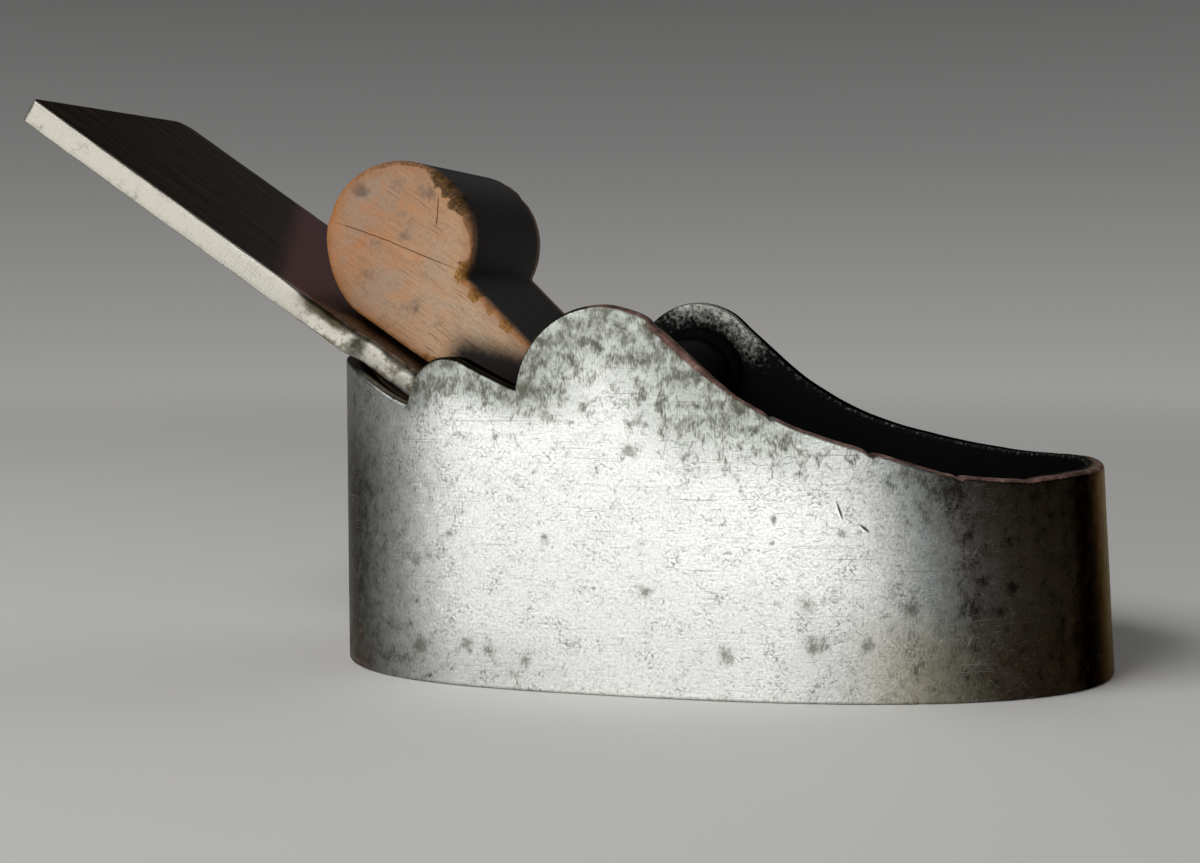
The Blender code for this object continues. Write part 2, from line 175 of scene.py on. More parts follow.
scene.view_settings.view_transform = "Standard"
world = bpy.data.worlds.new("studio")
world.use_nodes = True
tree = world.node_tree
upward = add(tree, "SeparateXYZ", (add(tree, "TexCoord", take="Generated"),), take="Z")
lowest = WORLD_GREYS[0][0]
highest = WORLD_GREYS[-1][0]
sweep = add(tree, "MapRange", (upward, lowest, highest))
greys = [((rise - lowest) / (highest - lowest), code) for rise, code in WORLD_GREYS]
join(tree, tree.nodes["Background"], {"Color": add(tree, "ValToRGB", (sweep,), stops=greys)})
scene.world = world

for name, (turn, rise, distance, width, height, power) in LAMPS.items():
    lamp = bpy.data.lights.new(name, "AREA")
    lamp.shape = "RECTANGLE"
    lamp.size = width
    lamp.size_y = height
    lamp.energy = power
    item = bpy.data.objects.new(name, lamp)
    side = math.radians(turn)
    flat = distance * math.cos(math.radians(rise))
    item.location = (flat * math.sin(side), -flat * math.cos(side), distance * math.sin(math.radians(rise)))
    item.rotation_euler = (LAMP_TARGET - item.location).to_track_quat("-Z", "Y").to_euler()
    item.visible_camera = False
    scene.collection.objects.link(item)
print("lamps:", ", ".join(LAMPS))

# %% Pale floor
FLOOR_RADIUS = 3.0
FLOOR_SIDES = 64
FLOOR_DROP = 0.05 * MM
# Distances at which the floor starts to fade, and is gone, in metres
FLOOR_FADE = (0.16, 0.60)

# Matt paper, so that the floor takes a soft shadow and shows no gloss
floor_paper, tree, shader = start_finish("pale paper")
reach = add(tree, "VectorMath", (add(tree, "TexCoord", take="Object"),), operation="LENGTH")
fade = add(tree, "MapRange", (reach, *FLOOR_FADE, 1.0, 0.0), **SOFT)
join(tree, shader, {"Base Color": "#ecebe8", "Roughness": 0.9, "Alpha": fade})
turns = np.arange(FLOOR_SIDES) * 2 * math.pi / FLOOR_SIDES
ring = [(FLOOR_RADIUS * math.cos(turn), FLOOR_RADIUS * math.sin(turn), -FLOOR_DROP) for turn in turns]
floor_mesh = bpy.data.meshes.new("floor")
floor_mesh.from_pydata(ring, [], [tuple(range(FLOOR_SIDES))])
floor_mesh.materials.append(floor_paper)
floor = bpy.data.objects.new("floor", floor_mesh)
scene.collection.objects.link(floor)
floor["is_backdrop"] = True
print("floor:", FLOOR_SIDES, "sides")

# %% [markdown]
# The wall is one strip of steel, 2 mm thick. Seen from above it is an egg, a flat-sided oval that is
# widest behind the middle. Its rim falls away at the heel for the iron, rises in a scallop, dips to a
# notch, climbs over the hump and runs down to a low toe. Both curves follow rules, so the strip is a
# section carried round the plan in code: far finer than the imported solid, with a rounded rim, a slightly
# wavy face and the nicks of a century of use.

# %% Plan and rim of the wall
band_low, band_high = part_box("body_band")
HEEL_X = band_low.x
TOE_X = band_high.x
BODY_WIDTH = band_high.y - band_low.y
WIDEST_X = -8.5 * MM
HEEL_ROUNDNESS = 3.0
TOE_ROUNDNESS = 2.4
WALL = 2.0 * MM
TOE_LEAN = math.tan(math.radians(3.9))
SEAM_WIDTH = 1.2 * MM

BED_ANGLE = math.radians(34.0)
SIN_BED = math.sin(BED_ANGLE)
COS_BED = math.cos(BED_ANGLE)
MOUTH_X = 16.0 * MM
IRON_WIDTH = 36.6 * MM
NECK_WIDTH = 34.6 * MM
IRON_THICKNESS = 2.6 * MM
LIP_FALL = 4.75 * MM
LIP_RUN = 14.0 * MM
LIP_GAP = 0.3 * MM
SLOT_END_RUN = 0.4 * MM
SCALLOP_X = -24.0 * MM
SCALLOP_Z = 28.3 * MM
SCALLOP_RADIUS = 4.1 * MM
SCALLOP_START = math.radians(170.0)
SCALLOP_SLOPE = math.radians(23.9)
HUMP_X = -8.0 * MM
HUMP_Z = 29.0 * MM
HUMP_RADIUS = 8.5 * MM
TOE_HEIGHT = 21.3 * MM
# Rim past the hump: distance from its top, and share of the fall still to come
HUMP_FALL = ((4.0 * MM, 0.932), (7.0 * MM, 0.778), (14.1 * MM, 0.420), (23.2 * MM, 0.157))
TOE_SAG_FROM_TOE = 10.5 * MM
TOE_SAG_SHARE = -0.006


def smooth_step(low, high, value):
    """Share from 0 at low to 1 at high, level at both ends."""
    t = np.clip((np.asarray(value, float) - low) / (np.asarray(high, float) - low), 0.0, 1.0)
    return t * t * (3 - 2 * t)


def run_length(*axes):
    """Distance along a line of points from its start, given one array for each axis."""
    return np.concatenate(([0.0], np.cumsum(np.sqrt(sum(np.diff(axis) ** 2 for axis in axes)))))


def spread(*values):
    """Arrays of any matching shapes side by side, as points."""
    return np.stack(np.broadcast_arrays(*values), axis=-1)


def plan_points(angle, inset):
    """X and half width of the plan at an angle from the toe, set in from the outer face."""
    cosine = np.cos(angle)
    heel = cosine < 0
    roundness = np.where(heel, HEEL_ROUNDNESS, TOE_ROUNDNESS)
    reach = np.where(heel, WIDEST_X - HEEL_X, TOE_X - WIDEST_X) - inset
    ahead = np.sign(cosine) * np.abs(cosine) ** (2 / roundness)
    aside = np.maximum(np.sin(angle), 0.0) ** (2 / roundness)
    return WIDEST_X + reach * ahead, (BODY_WIDTH / 2 - inset) * aside


def plan_angle(x):
    """Angle of the outer plan at X: a half turn at the heel, zero at the toe."""
    x = np.asarray(x, float)
    behind = np.clip((WIDEST_X - x) / (WIDEST_X - HEEL_X), 0.0, 1.0)
    before = np.clip((x - WIDEST_X) / (TOE_X - WIDEST_X), 0.0, 1.0)
    return np.where(x < WIDEST_X, math.pi - np.arccos(behind ** (HEEL_ROUNDNESS / 2)),
                    np.arccos(before ** (TOE_ROUNDNESS / 2)))


def lip_share(x):
    """Share of the heel lip's fall at X: level at the heel and at the end of its run."""
    return smooth_step(HEEL_X, HEEL_X + LIP_RUN, x)


def lip_height(x):
    """Height of the heel lip, just clear of the underside of the iron."""
    share = NECK_WIDTH / (BODY_WIDTH - 2 * WALL)
    reach = WIDEST_X - HEEL_X - WALL
    crossing = WIDEST_X - reach * (1.0 - share ** HEEL_ROUNDNESS) ** (1.0 / HEEL_ROUNDNESS)
    seat = (MOUTH_X - crossing) * math.tan(BED_ANGLE) - IRON_THICKNESS / COS_BED - LIP_GAP
    return seat + LIP_FALL * (lip_share(crossing) - lip_share(x))


def fall_height(x):
    """Rim from the top of the hump to the toe: a cubic through a few knots, level at the hump."""
    top = HUMP_Z + HUMP_RADIUS
    drop = top - TOE_HEIGHT
    knots = [(HUMP_X, top)] + [(HUMP_X + ahead, TOE_HEIGHT + drop * share) for ahead, share in HUMP_FALL]
    knots += [(TOE_X - TOE_SAG_FROM_TOE, TOE_HEIGHT + drop * TOE_SAG_SHARE), (TOE_X, TOE_HEIGHT)]
    knot_x, knot_z = np.array(knots).T
    slopes = np.concatenate(([0.0], (knot_z[2:] - knot_z[:-2]) / (knot_x[2:] - knot_x[:-2]),
                             [(knot_z[-1] - knot_z[-2]) / (knot_x[-1] - knot_x[-2])]))
    span = np.clip(np.searchsorted(knot_x, x, side="right") - 1, 0, len(knots) - 2)
    width = knot_x[span + 1] - knot_x[span]
    t = (x - knot_x[span]) / width
    level = knot_z[span] * (1 + 2 * t) * (1 - t) ** 2 + knot_z[span + 1] * t ** 2 * (3 - 2 * t)
    return level + width * (slopes[span] * t * (1 - t) ** 2 - slopes[span + 1] * t ** 2 * (1 - t))


def strip_stations(pitch):
    """Plan angle, rim height and whether it is lip, from the seam to the toe, a pitch apart on the rim."""
    seam = math.pi - math.asin((SEAM_WIDTH / BODY_WIDTH) ** (HEEL_ROUNDNESS / 2))
    slot_x = SCALLOP_X + SCALLOP_RADIUS * math.cos(SCALLOP_START) - SLOT_END_RUN
    lip_angle = np.linspace(seam, float(plan_angle(slot_x)), 400)
    scallop = np.linspace(SCALLOP_START, math.pi / 2 - SCALLOP_SLOPE, 60)
    scallop_x = SCALLOP_X + SCALLOP_RADIUS * np.cos(scallop)
    scallop_z = SCALLOP_Z + SCALLOP_RADIUS * np.sin(scallop)
    below = (HUMP_X - scallop_x[-1]) * math.sin(SCALLOP_SLOPE)
    below += (HUMP_Z - scallop_z[-1]) * math.cos(SCALLOP_SLOPE)
    hump = np.linspace(math.pi - SCALLOP_SLOPE + math.asin(below / HUMP_RADIUS), math.pi / 2, 120)
    hump_x = HUMP_X + HUMP_RADIUS * np.cos(hump)
    hump_z = HUMP_Z + HUMP_RADIUS * np.sin(hump)
    fall_angle = np.linspace(float(plan_angle(HUMP_X)), 0.0, 500)
    stretches = [(lip_angle, lip_height(plan_points(lip_angle, 0.0)[0])),
                 (plan_angle([slot_x, scallop_x[0]]), np.array([lip_height(slot_x), scallop_z[0]])),
                 (plan_angle(scallop_x), scallop_z),
                 (plan_angle([scallop_x[-1], hump_x[0]]), np.array([scallop_z[-1], hump_z[0]])),
                 (plan_angle(hump_x), hump_z),
                 (fall_angle, fall_height(plan_points(fall_angle, 0.0)[0]))]
    stations = []
    for number, (angle, rim) in enumerate(stretches):
        along = run_length(*plan_points(angle, 0.0), rim)
        steps = np.linspace(0.0, along[-1], max(int(along[-1] / pitch), 2) + 1)[min(number, 1):]
        stations.append((np.interp(steps, along, angle), np.interp(steps, along, rim),
                         np.full(len(steps), number == 0)))
    return [np.concatenate(values) for values in zip(*stations)]


STATION_PITCH = 0.36 * MM
near_half = strip_stations(STATION_PITCH)
station_angle, station_rim, station_lip = [np.concatenate((half, half[-2::-1])) for half in near_half]
toe_station = len(near_half[0]) - 1
station_side = np.where(np.arange(len(station_angle)) <= toe_station, -1.0, 1.0)
print("stations round the wall:", len(station_angle), "rim from", round(station_rim.min() / MM, 1),
      "to", round(station_rim.max() / MM, 1), "mm")

# %% [markdown]
# Each station gets one section: up the outer face, over the rim in two quarter rounds, down the inner
# face and back along the bottom. Joining all sections gives the strip. Worn steel is never flat, so the
# faces swell and sink by a few hundredths of a millimetre, and the rim has small dents.

# %% Helpers for meshes
HARD_EDGE = math.radians(40.0)


def add_piece(name, points, faces, *finishes):
    """Mesh object at the origin, smooth except at its hard edges."""
    mesh = bpy.data.meshes.new(name)
    mesh.from_pydata(np.asarray(points).tolist(), [], faces)
    mesh.shade_smooth()
    mesh.set_sharp_from_angle(angle=HARD_EDGE)
    for finish in finishes:
        mesh.materials.append(finish)
    item = bpy.data.objects.new(name, mesh)
    scene.collection.objects.link(item)
    return item


def loft_faces(rings, count):
    """Quads between rings of points."""
    return [(level * count + index, level * count + (index + 1) % count,
             (level + 1) * count + (index + 1) % count, (level + 1) * count + index)
            for level in range(rings - 1) for index in range(count)]


def lofted(name, points, *finishes, turned=False):
    """Piece from rings of points, closed at both ends. Rings that run the other way round are turned."""
    rings, count = points.shape[:2]
    faces = loft_faces(rings, count)
    faces += [tuple(range(count))[::-1], tuple(range((rings - 1) * count, rings * count))]
    if turned:
        faces = [face[::-1] for face in faces]
    print(name + ":", len(faces), "faces")
    return add_piece(name, points.reshape(-1, 3), faces, *finishes)


def set_field(item, name, values):
    """Stores a number, or a place, for each vertex, for the finish to read."""
    single = np.shape(values)[-1] != 3
    field = item.data.attributes.new(name, "FLOAT" if single else "FLOAT_VECTOR", "POINT")
    field.data.foreach_set("value" if single else "vector", np.asarray(values, float).ravel())


def waver(places, length, seed):
    """Smooth noise from about -1 to 1 at each place, with swells about this long."""
    shift = Vector((seed * 7.31, seed * 3.17, seed * 5.53))
    values = [noise.noise(Vector(place) / length + shift) for place in np.reshape(places, (-1, 3))]
    return np.reshape(values, np.shape(places)[:-1])


def wall_points(angle, inset, side, z):
    """Points of the wall, whose toe leans back as it rises."""
    x, aside = plan_points(angle, inset)
    share = np.maximum(x - WIDEST_X, 0.0) / (TOE_X - WIDEST_X)
    return spread(x - z * TOE_LEAN * share ** 2, side * aside, z)


# %% Mesh of the wall
OUTER_ROWS = 52
INNER_ROWS = 14
ROUND_ROWS = 6
# How far the rows of the outer face crowd towards the rim and the foot
ROW_CROWDING = 0.8
OUTER_ROUND = 0.50 * MM
INNER_ROUND = 0.40 * MM
FOOT_ROUND = 0.22 * MM
WAVE_DEPTH = 0.035 * MM
WAVE_LENGTH = 9.0 * MM
FACE_INSET = 0.03 * MM
RIM_WANDER = 0.07 * MM
RIM_WANDER_LENGTH = 3.5 * MM
# Dents in the rim on the near side: X, width and depth in mm
RIM_DENTS = ((8.3, 0.5, 0.30), (17.9, 0.9, 0.35), (26.2, 0.8, 0.30), (-2.5, 1.2, 0.16), (33.0, 1.1, 0.18))
# The near rim was filed less than the far one: X and extra height in mm
NEAR_RIM = ((-6.0, 0.0), (-1.5, 0.38), (5.3, 0.25), (9.0, 0.55), (12.7, 0.77), (16.3, 0.90), (20.0, 0.70),
            (25.0, 0.0))
# Nicks across the bottom edge on the near side: X, lean, height and depth in mm
FOOT_NICKS = ((18.9, 0.9, 0.9, 0.18), (19.5, 0.9, 0.7, 0.14), (22.1, 0.35, 1.5, 0.22))
NICK_HALF_WIDTH = 0.16 * MM

station_x, station_aside = plan_points(station_angle, 0.0)
station_y = station_side * station_aside
station_along = run_length(station_x, station_y)
station_along -= station_along[toe_station]
outward = spread(np.gradient(station_y, station_along), -np.gradient(station_x, station_along), 0.0)
outward /= np.linalg.norm(outward, axis=-1, keepdims=True)
near = station_side < 0

# Rim height with its wander and dents
rim_place = spread(station_along, station_rim, 0.0)
rim_cut = RIM_WANDER * waver(rim_place, RIM_WANDER_LENGTH, 1) * ~station_lip
rim_x, rim_lift = np.array(NEAR_RIM).T * MM
rim_cut += near * np.interp(station_x, rim_x, rim_lift)
for dent_x, dent_width, dent_depth in RIM_DENTS:
    rim_cut -= near * dent_depth * MM * np.exp(-((station_x / MM - dent_x) / (dent_width / 2)) ** 2)

# Rows of the section: how far they are set in, how far below the rim, and their share of the height
quarter = np.linspace(0.0, math.pi / 2, ROUND_ROWS)
even = np.linspace(0.0, 1.0, OUTER_ROWS)
crowded = even - ROW_CROWDING * np.sin(2 * math.pi * even) / (2 * math.pi)
row_inset = np.concatenate((FOOT_ROUND * (1 - np.cos(quarter[::-1])), np.zeros(OUTER_ROWS - 1),
                            OUTER_ROUND * (1 - np.cos(quarter[1:])),
                            WALL - INNER_ROUND * (1 - np.sin(quarter)), np.full(INNER_ROWS - 1, WALL)))
row_drop = np.concatenate((FOOT_ROUND * (1 - np.sin(quarter[::-1])), np.full(OUTER_ROWS - 1, OUTER_ROUND),
                           OUTER_ROUND * (1 - np.sin(quarter[1:])),
                           INNER_ROUND * (1 - np.cos(quarter)), np.full(INNER_ROWS - 1, INNER_ROUND)))
row_share = np.concatenate((np.full(ROUND_ROWS, -1.0), crowded[1:], np.ones(2 * ROUND_ROWS - 1),
                            np.linspace(1.0, 0.0, INNER_ROWS)[1:]))
row_count = len(row_inset)

inner_half = row_inset > WALL / 2
x_at_inset = plan_points(station_angle[:, None], row_inset)[0]
top = np.where(station_lip[:, None], lip_height(x_at_inset), station_rim[:, None]) + rim_cut[:, None]
foot_level = np.where(inner_half, 0.0, FOOT_ROUND)
height = np.where(row_share < 0, row_drop, foot_level + row_share * (top - row_drop - foot_level))
wall = wall_points(station_angle[:, None], row_inset, station_side[:, None], height)

# Waves, and nicks across the bottom edge
strip_place = spread(station_along[:, None], height, row_inset)
swell = WAVE_DEPTH * (waver(strip_place, WAVE_LENGTH, 2) + 0.3 * waver(strip_place, WAVE_LENGTH / 4, 3))
for nick_x, lean, nick_height, nick_depth in FOOT_NICKS:
    across = (station_x[:, None] - nick_x * MM) + height * lean
    shape = np.exp(-(across / NICK_HALF_WIDTH) ** 2) * smooth_step(nick_height * MM, 0.0, height)
    swell -= near[:, None] * nick_depth * MM * shape
swell = np.where(inner_half, -swell, swell - FACE_INSET)
from_seam = np.minimum(np.arange(len(station_x)), np.arange(len(station_x))[::-1])
wall += outward[:, None, :] * (swell * smooth_step(0, 6, from_seam)[:, None])[..., None]
wall[0, :, 1] = -SEAM_WIDTH / 2
wall[-1, :, 1] = SEAM_WIDTH / 2
print("wall:", len(station_x), "sections of", row_count, "points")

# %% [markdown]
# What a spot on the wall looks like depends on where it is: mottled grey near the humps where fingers
# rest, with a thin veil below, painted shade at the heel, brown-black round the toe, partly film and partly
# painted shade, with an olive foot and a golden painted reflection at the tip, red on the rim, bright in the
# middle. Each of these is a number stored on the vertices, worked out from the distance to the rim and the
# place along the strip. The finish then breaks it up with noise.

# %% Where the wall is stained, and where shade and light are painted
rim_line = np.stack((station_along, top[:, ROUND_ROWS + OUTER_ROWS]), axis=-1)[::2]
rim_gap = np.empty(height.shape)
for row in range(row_count):
    apart = strip_place[:, row, None, :2] - rim_line
    rim_gap[:, row] = np.sqrt((apart ** 2).sum(-1).min(-1)) / MM
# From here on, places and distances are in mm: X, height, distance from the rim, and along the strip
wall_x = np.broadcast_to(station_x[:, None], height.shape) / MM
wall_z = height / MM
from_toe = station_along / MM
inset = row_inset / MM
outside = row_inset < WALL * 0.6
on_rim = (row_share == 1.0) & (inset > 0.09)
near_face = near[:, None]
lip = station_lip[:, None]

patina_depth = 4.4 + 4.1 * smooth_step(-21, -14, wall_x) - 3.0 * smooth_step(-4, 6, wall_x)
patina = (1.0 - 0.65 * smooth_step(4, 20, wall_x)) * np.exp(-(rim_gap / patina_depth) ** 2)
patina_foot = 27.0 - 11.0 * smooth_step(-9, 10, wall_x)
patina *= smooth_step(-32, -27.5, wall_x) * smooth_step(patina_foot - 2.6, patina_foot + 2.6, wall_z)
veil = smooth_step(13, 22, wall_z) * smooth_step(30, 25, wall_z)
veil *= smooth_step(-29, -22, wall_x) * smooth_step(9, -2, wall_x)
patina += 0.2 * veil + 0.2 * smooth_step(-20, -29, wall_x)
patina += 0.3 * smooth_step(8, 1, wall_z) * smooth_step(-8, -20, wall_x)
patina += 0.3 * smooth_step(13, 3, wall_z) * smooth_step(6, 18, wall_x)
patina = np.clip(patina, 0.0, 1.0)
# Painted shade, darker towards the heel
shade = smooth_step(-20.3, -38, wall_x) * (0.53 + 0.42 * smooth_step(30, 18, wall_z))
shade += 0.15 * smooth_step(-30.5, -37, wall_x)
olive = smooth_step(11, 3, wall_z) * smooth_step(14, 24, wall_x)
# Painted reflection: a golden band on the tip of the toe
tip = outside * smooth_step(11.0, 3.3, np.abs(from_toe))[:, None] * (0.72 + 0.28 * smooth_step(4, 20, wall_z))

# Red rust on the near rim and a little way down the flank, except in one fresh dent, and at the foot
red_share = (0.1 + 0.9 * smooth_step(-10.5, -7, wall_x)) * (1.0 - smooth_step(5, 15, from_toe))[:, None]
bright_dent = near_face * np.exp(-((wall_x - 8.5) / 0.4) ** 2)
flank = smooth_step(-5.5, -1.5, wall_x) * np.where(near_face, 1.0, 0.3)
rust_reach = 0.35 + 0.45 * smooth_step(6, 0, wall_x)
rust_band = smooth_step(rust_reach + 0.15, rust_reach - 0.15, rim_gap)
rust = np.maximum(on_rim * red_share, outside * 0.85 * flank * rust_band) * (1.0 - bright_dent)
foot_rust = np.maximum(smooth_step(2.6, 0.2, wall_z) * smooth_step(-25, -34, wall_x),
                       smooth_step(9, 2, wall_z) * smooth_step(-27, -36, wall_x))

# Brown film and painted shade towards the toe, and soot on the inner half of the rim and on the far side
tarnish_and_toe_shade = 0.87 * smooth_step(14.5, 36.5, wall_x + 0.14 * (wall_z - 11)) + 0.2 * smooth_step(36, 39.5, wall_x)
tarnish_and_toe_shade = np.maximum(tarnish_and_toe_shade, on_rim * np.where(lip, 0.4, 0.9) * (1.0 - red_share))
sooty_rim = (lip | (from_toe > 9)[:, None]) & (inset > np.where(lip & near_face, 1.2, 0.09))
sooty_rim = on_rim & (sooty_rim | (~lip & (inset > 1.1)))
tarnish_and_toe_shade = np.where(sooty_rim, 1.3, tarnish_and_toe_shade)
rust = np.maximum(np.where(sooty_rim, 0.0, rust), 0.42 * outside * foot_rust)
# Grey on the inner face: rubbed near the rim, and painted light lower down on the humps
lit_hump_shoulder = smooth_step(-17, -9, wall_x) * smooth_step(4, -2, wall_x)
inner_rub_and_painted_light = np.maximum(smooth_step(5.2, 0.4, rim_gap) * lit_hump_shoulder, 0.57 * smooth_step(0.7, 0.2, rim_gap))
print("stained share of the wall:", round(float(patina.mean()), 2))

# %% [markdown]
# The strip is plain carbon steel that was filed and polished long ago and has since been handled. It is
# bright and satin where it rubs, with pin-head pits a third of a millimetre across, fine scratches along
# the strip and soft grey-green mottling made of short upright strokes. Towards the toe a thin brown film
# covers the metal, darkened further with painted shade, and the rim is red with rust. The inner face was
# left black from the forge. Sizes are in millimetres, because the strip's own coordinates are.

# %% Patterns on the wall
GRAIN_SIZE = 0.30
SPECK_SIZE = 0.34
CLUSTER_SIZE = 3.0
SCRATCH_LENGTH = 11.0
SCRATCH_WIDTH = 0.12
TICK_LENGTH = 1.5
TICK_WIDTH = 0.11
# Lean of the short ticks, and of the strokes, in degrees
TICK_LEANS = (-38.0, 6.0, 55.0)
STROKE_LEAN = -12.0
BLOTCH_WIDTH = 1.2
BLOTCH_HEIGHT = 1.5
STROKE_WIDTH = 0.17
STROKE_HEIGHT = 0.6
RUST_PATCH = 1.6

wall_steel, tree, shader = start_finish("worn bright carbon steel")
strip = add(tree, "Attribute", take="Vector", attribute_name="strip")
fields = {name: add(tree, "Attribute", take="Fac", attribute_name=name)
          for name in ("patina", "tarnish_and_toe_shade", "shade", "olive", "rust", "tip")}
grain = add(tree, "TexNoise", (strip, 1 / GRAIN_SIZE, 4.0, 0.65))
specks = add(tree, "TexNoise", (strip, 1 / SPECK_SIZE, 2.0))
clusters = add(tree, "TexNoise", (strip, 1 / CLUSTER_SIZE, 4.0, 0.6))
patch = add(tree, "TexNoise", (strip, 1 / RUST_PATCH, 4.0, 0.65))
speck_mask = add(tree, "MapRange", (add(tree, "Mix", (0.5, specks, clusters)), 0.55, 0.68))
scratches = drawn_out(tree, strip, (SCRATCH_LENGTH, SCRATCH_WIDTH, 1.0))
ticks = add(tree, "MapRange", (scratches, 0.64, 0.76))
for lean in TICK_LEANS:
    laid = add(tree, "Mapping", {"Vector": strip, "Rotation": (0.0, 0.0, math.radians(lean)),
                                 "Scale": (TICK_LENGTH, TICK_WIDTH, 1.0)}, vector_type="TEXTURE")
    tick = add(tree, "MapRange", (add(tree, "TexNoise", (laid, 1.0, 1.0)), 0.67, 0.76))
    ticks = add(tree, "Math", (tick, ticks), operation="MAXIMUM")
blotches = drawn_out(tree, strip, (BLOTCH_WIDTH, BLOTCH_HEIGHT, 1.0), 5.0, 0.55, 0.4)
strokes = drawn_out(tree, strip, (STROKE_WIDTH, STROKE_HEIGHT, 1.0), 3.0, lean=STROKE_LEAN)
cloud = add(tree, "Mix", (0.32, blotches, strokes))
print("wall patterns:", len(tree.nodes), "nodes")

# %% Nicks and spots on the wall
# Two nicks on the near face: X, height, length, width and lean in mm and degrees
NICKS = ((14.9, 18.3, 2.1, 0.26, -70.0), (17.25, 16.65, 1.4, 0.30, -38.0))
# A painted glint lies beside each nick, this far from it in mm
GLINT_SHIFT = (-0.17, -0.12)
# Dark spots on the near face: X, height and radius in mm
SPOTS = ((21.2, 9.1, 1.3), (26.9, 9.1, 1.8), (24.6, 20.1, 3.3), (21.2, 21.8, 1.1), (30.6, 15.2, 1.2),
         (22.8, 20.9, 1.3), (33.1, 19.3, 1.0), (30.9, 10.6, 0.9), (29.5, 8.6, 1.0), (15.0, 16.1, 0.7),
         (26.9, 16.0, 0.9), (28.1, 11.5, 0.9), (-27.0, 3.7, 1.3), (-21.8, 4.4, 0.9),
         (-19.4, 3.7, 1.0), (-15.6, 3.0, 0.8), (-17.1, 1.7, 0.7), (-13.5, 27.0, 1.1), (-5.1, 23.8, 1.1),
         (12.4, 5.6, 1.4), (11.6, 9.5, 0.9), (4.2, 4.3, 1.1), (-3.6, 10.2, 0.9), (17.4, 5.7, 0.8),
         (-27.4, 11.9, 0.9), (-23.7, 15.0, 0.5), (-13.6, 15.2, 0.5), (8.6, 17.5, 0.45), (8.6, 15.2, 0.4))
# Stray spots: at most one in each square of this many mm
STRAY_PITCH = 6.25


def on_strip(x, z):
    """Place on the strip of a point of the near face, in mm."""
    half = slice(0, toe_station + 1)
    return float(np.interp(x * MM, station_x[half], station_along[half])) / MM, z, 0.0


marks = {"nicks": 0.0, "nick_glints": 0.0}
for nick_x, nick_z, nick_length, nick_width, lean in NICKS:
    for name, (right, up), core in (("nicks", (0.0, 0.0), 0.3), ("nick_glints", GLINT_SHIFT, 0.4)):
        middle = np.add(on_strip(nick_x, nick_z), (right, up, 0.0)).tolist()
        laid = add(tree, "Mapping", {"Vector": strip, "Location": middle,
                                     "Rotation": (0.0, 0.0, math.radians(lean)),
                                     "Scale": (nick_length / 2, nick_width / 2, 1.0)}, vector_type="TEXTURE")
        away = add(tree, "VectorMath", (laid,), operation="LENGTH")
        cut = add(tree, "MapRange", (away, core, 1.0, 1.0, 0.0))
        marks[name] = add(tree, "Math", (cut, marks[name]), operation="MAXIMUM")
# How near the closest spot is, from 1 in its middle to 0 outside
stray = add(tree, "TexVoronoi", {"Vector": strip, "Scale": 1 / STRAY_PITCH, "Randomness": 1.0})
nearest = add(tree, "MapRange", (stray, 0.02, 0.15, 0.7, 0.0))
for spot_x, spot_z, spot_radius in SPOTS:
    apart = add(tree, "VectorMath", (strip, on_strip(spot_x, spot_z)), operation="DISTANCE")
    within = add(tree, "MapRange", (apart, 0.0, 1.6 * spot_radius, 1.0, 0.0))
    nearest = add(tree, "Math", (within, nearest), operation="MAXIMUM")
crumbled = add(tree, "Math", (cloud, grain), operation="ADD")
spot_mask = ragged(tree, (nearest, 0.55, crumbled), 1.20, 1.60, 0.85, **SOFT)
print("nicks and spots:", len(NICKS), "and", len(SPOTS))

# %% Finish of the wall
blotch_mask = ragged(tree, (fields["patina"], 0.22, cloud), 0.59, 0.82, **SOFT)
veil_mask = ragged(tree, (strokes, 0.5, fields["patina"]), 0.25, 1.1)
shade_mask = ragged(tree, (cloud, 0.8, fields["shade"]), 0.42, 1.46)
rust_mask = ragged(tree, (fields["rust"], 0.8, cloud), 0.72, 1.10, **SOFT)
# The cool grey stop is a painted tint of a bluish reflection
film = add(tree, "ValToRGB", (ragged(tree, (cloud, 0.36, fields["tarnish_and_toe_shade"]), 0.20, 1.24),),
           stops=((0.0, "#ffffff"), (0.28, "#b6bbbb"), (0.50, "#6e6866"), (0.66, "#524a43"),
                  (0.78, "#433a32"), (0.88, "#261f18"), (1.0, "#0f0d0b")))
flecks = add(tree, "MapRange", (patch, 0.52, 0.70, 0.0, 0.5))
fleck_mask = add(tree, "Math", (flecks, fields["tarnish_and_toe_shade"]), operation="MULTIPLY")
painted_tip_reflection_mask = add(tree, "Math", (fields["tip"], cloud), operation="MULTIPLY")
thin_film = add(tree, "MapRange", (fields["tarnish_and_toe_shade"], 0.85, 0.55))
scuff_mask = add(tree, "Math", (ticks, thin_film), operation="MULTIPLY")
spot_film = add(tree, "MapRange", (fields["tarnish_and_toe_shade"], 0.1, 0.5))
spot_tone = add(tree, "Mix", (spot_film, "#7a7a70", "#150f0a"), **COLOUR)
rust_tone = add(tree, "ValToRGB", (patch,), stops=((0.34, "#34221c"), (0.54, "#70534a"), (0.72, "#a88b80")))
tone = add(tree, "ValToRGB", (grain,), stops=((0.30, "#d0d1ce"), (0.58, "#f4f4f1")))
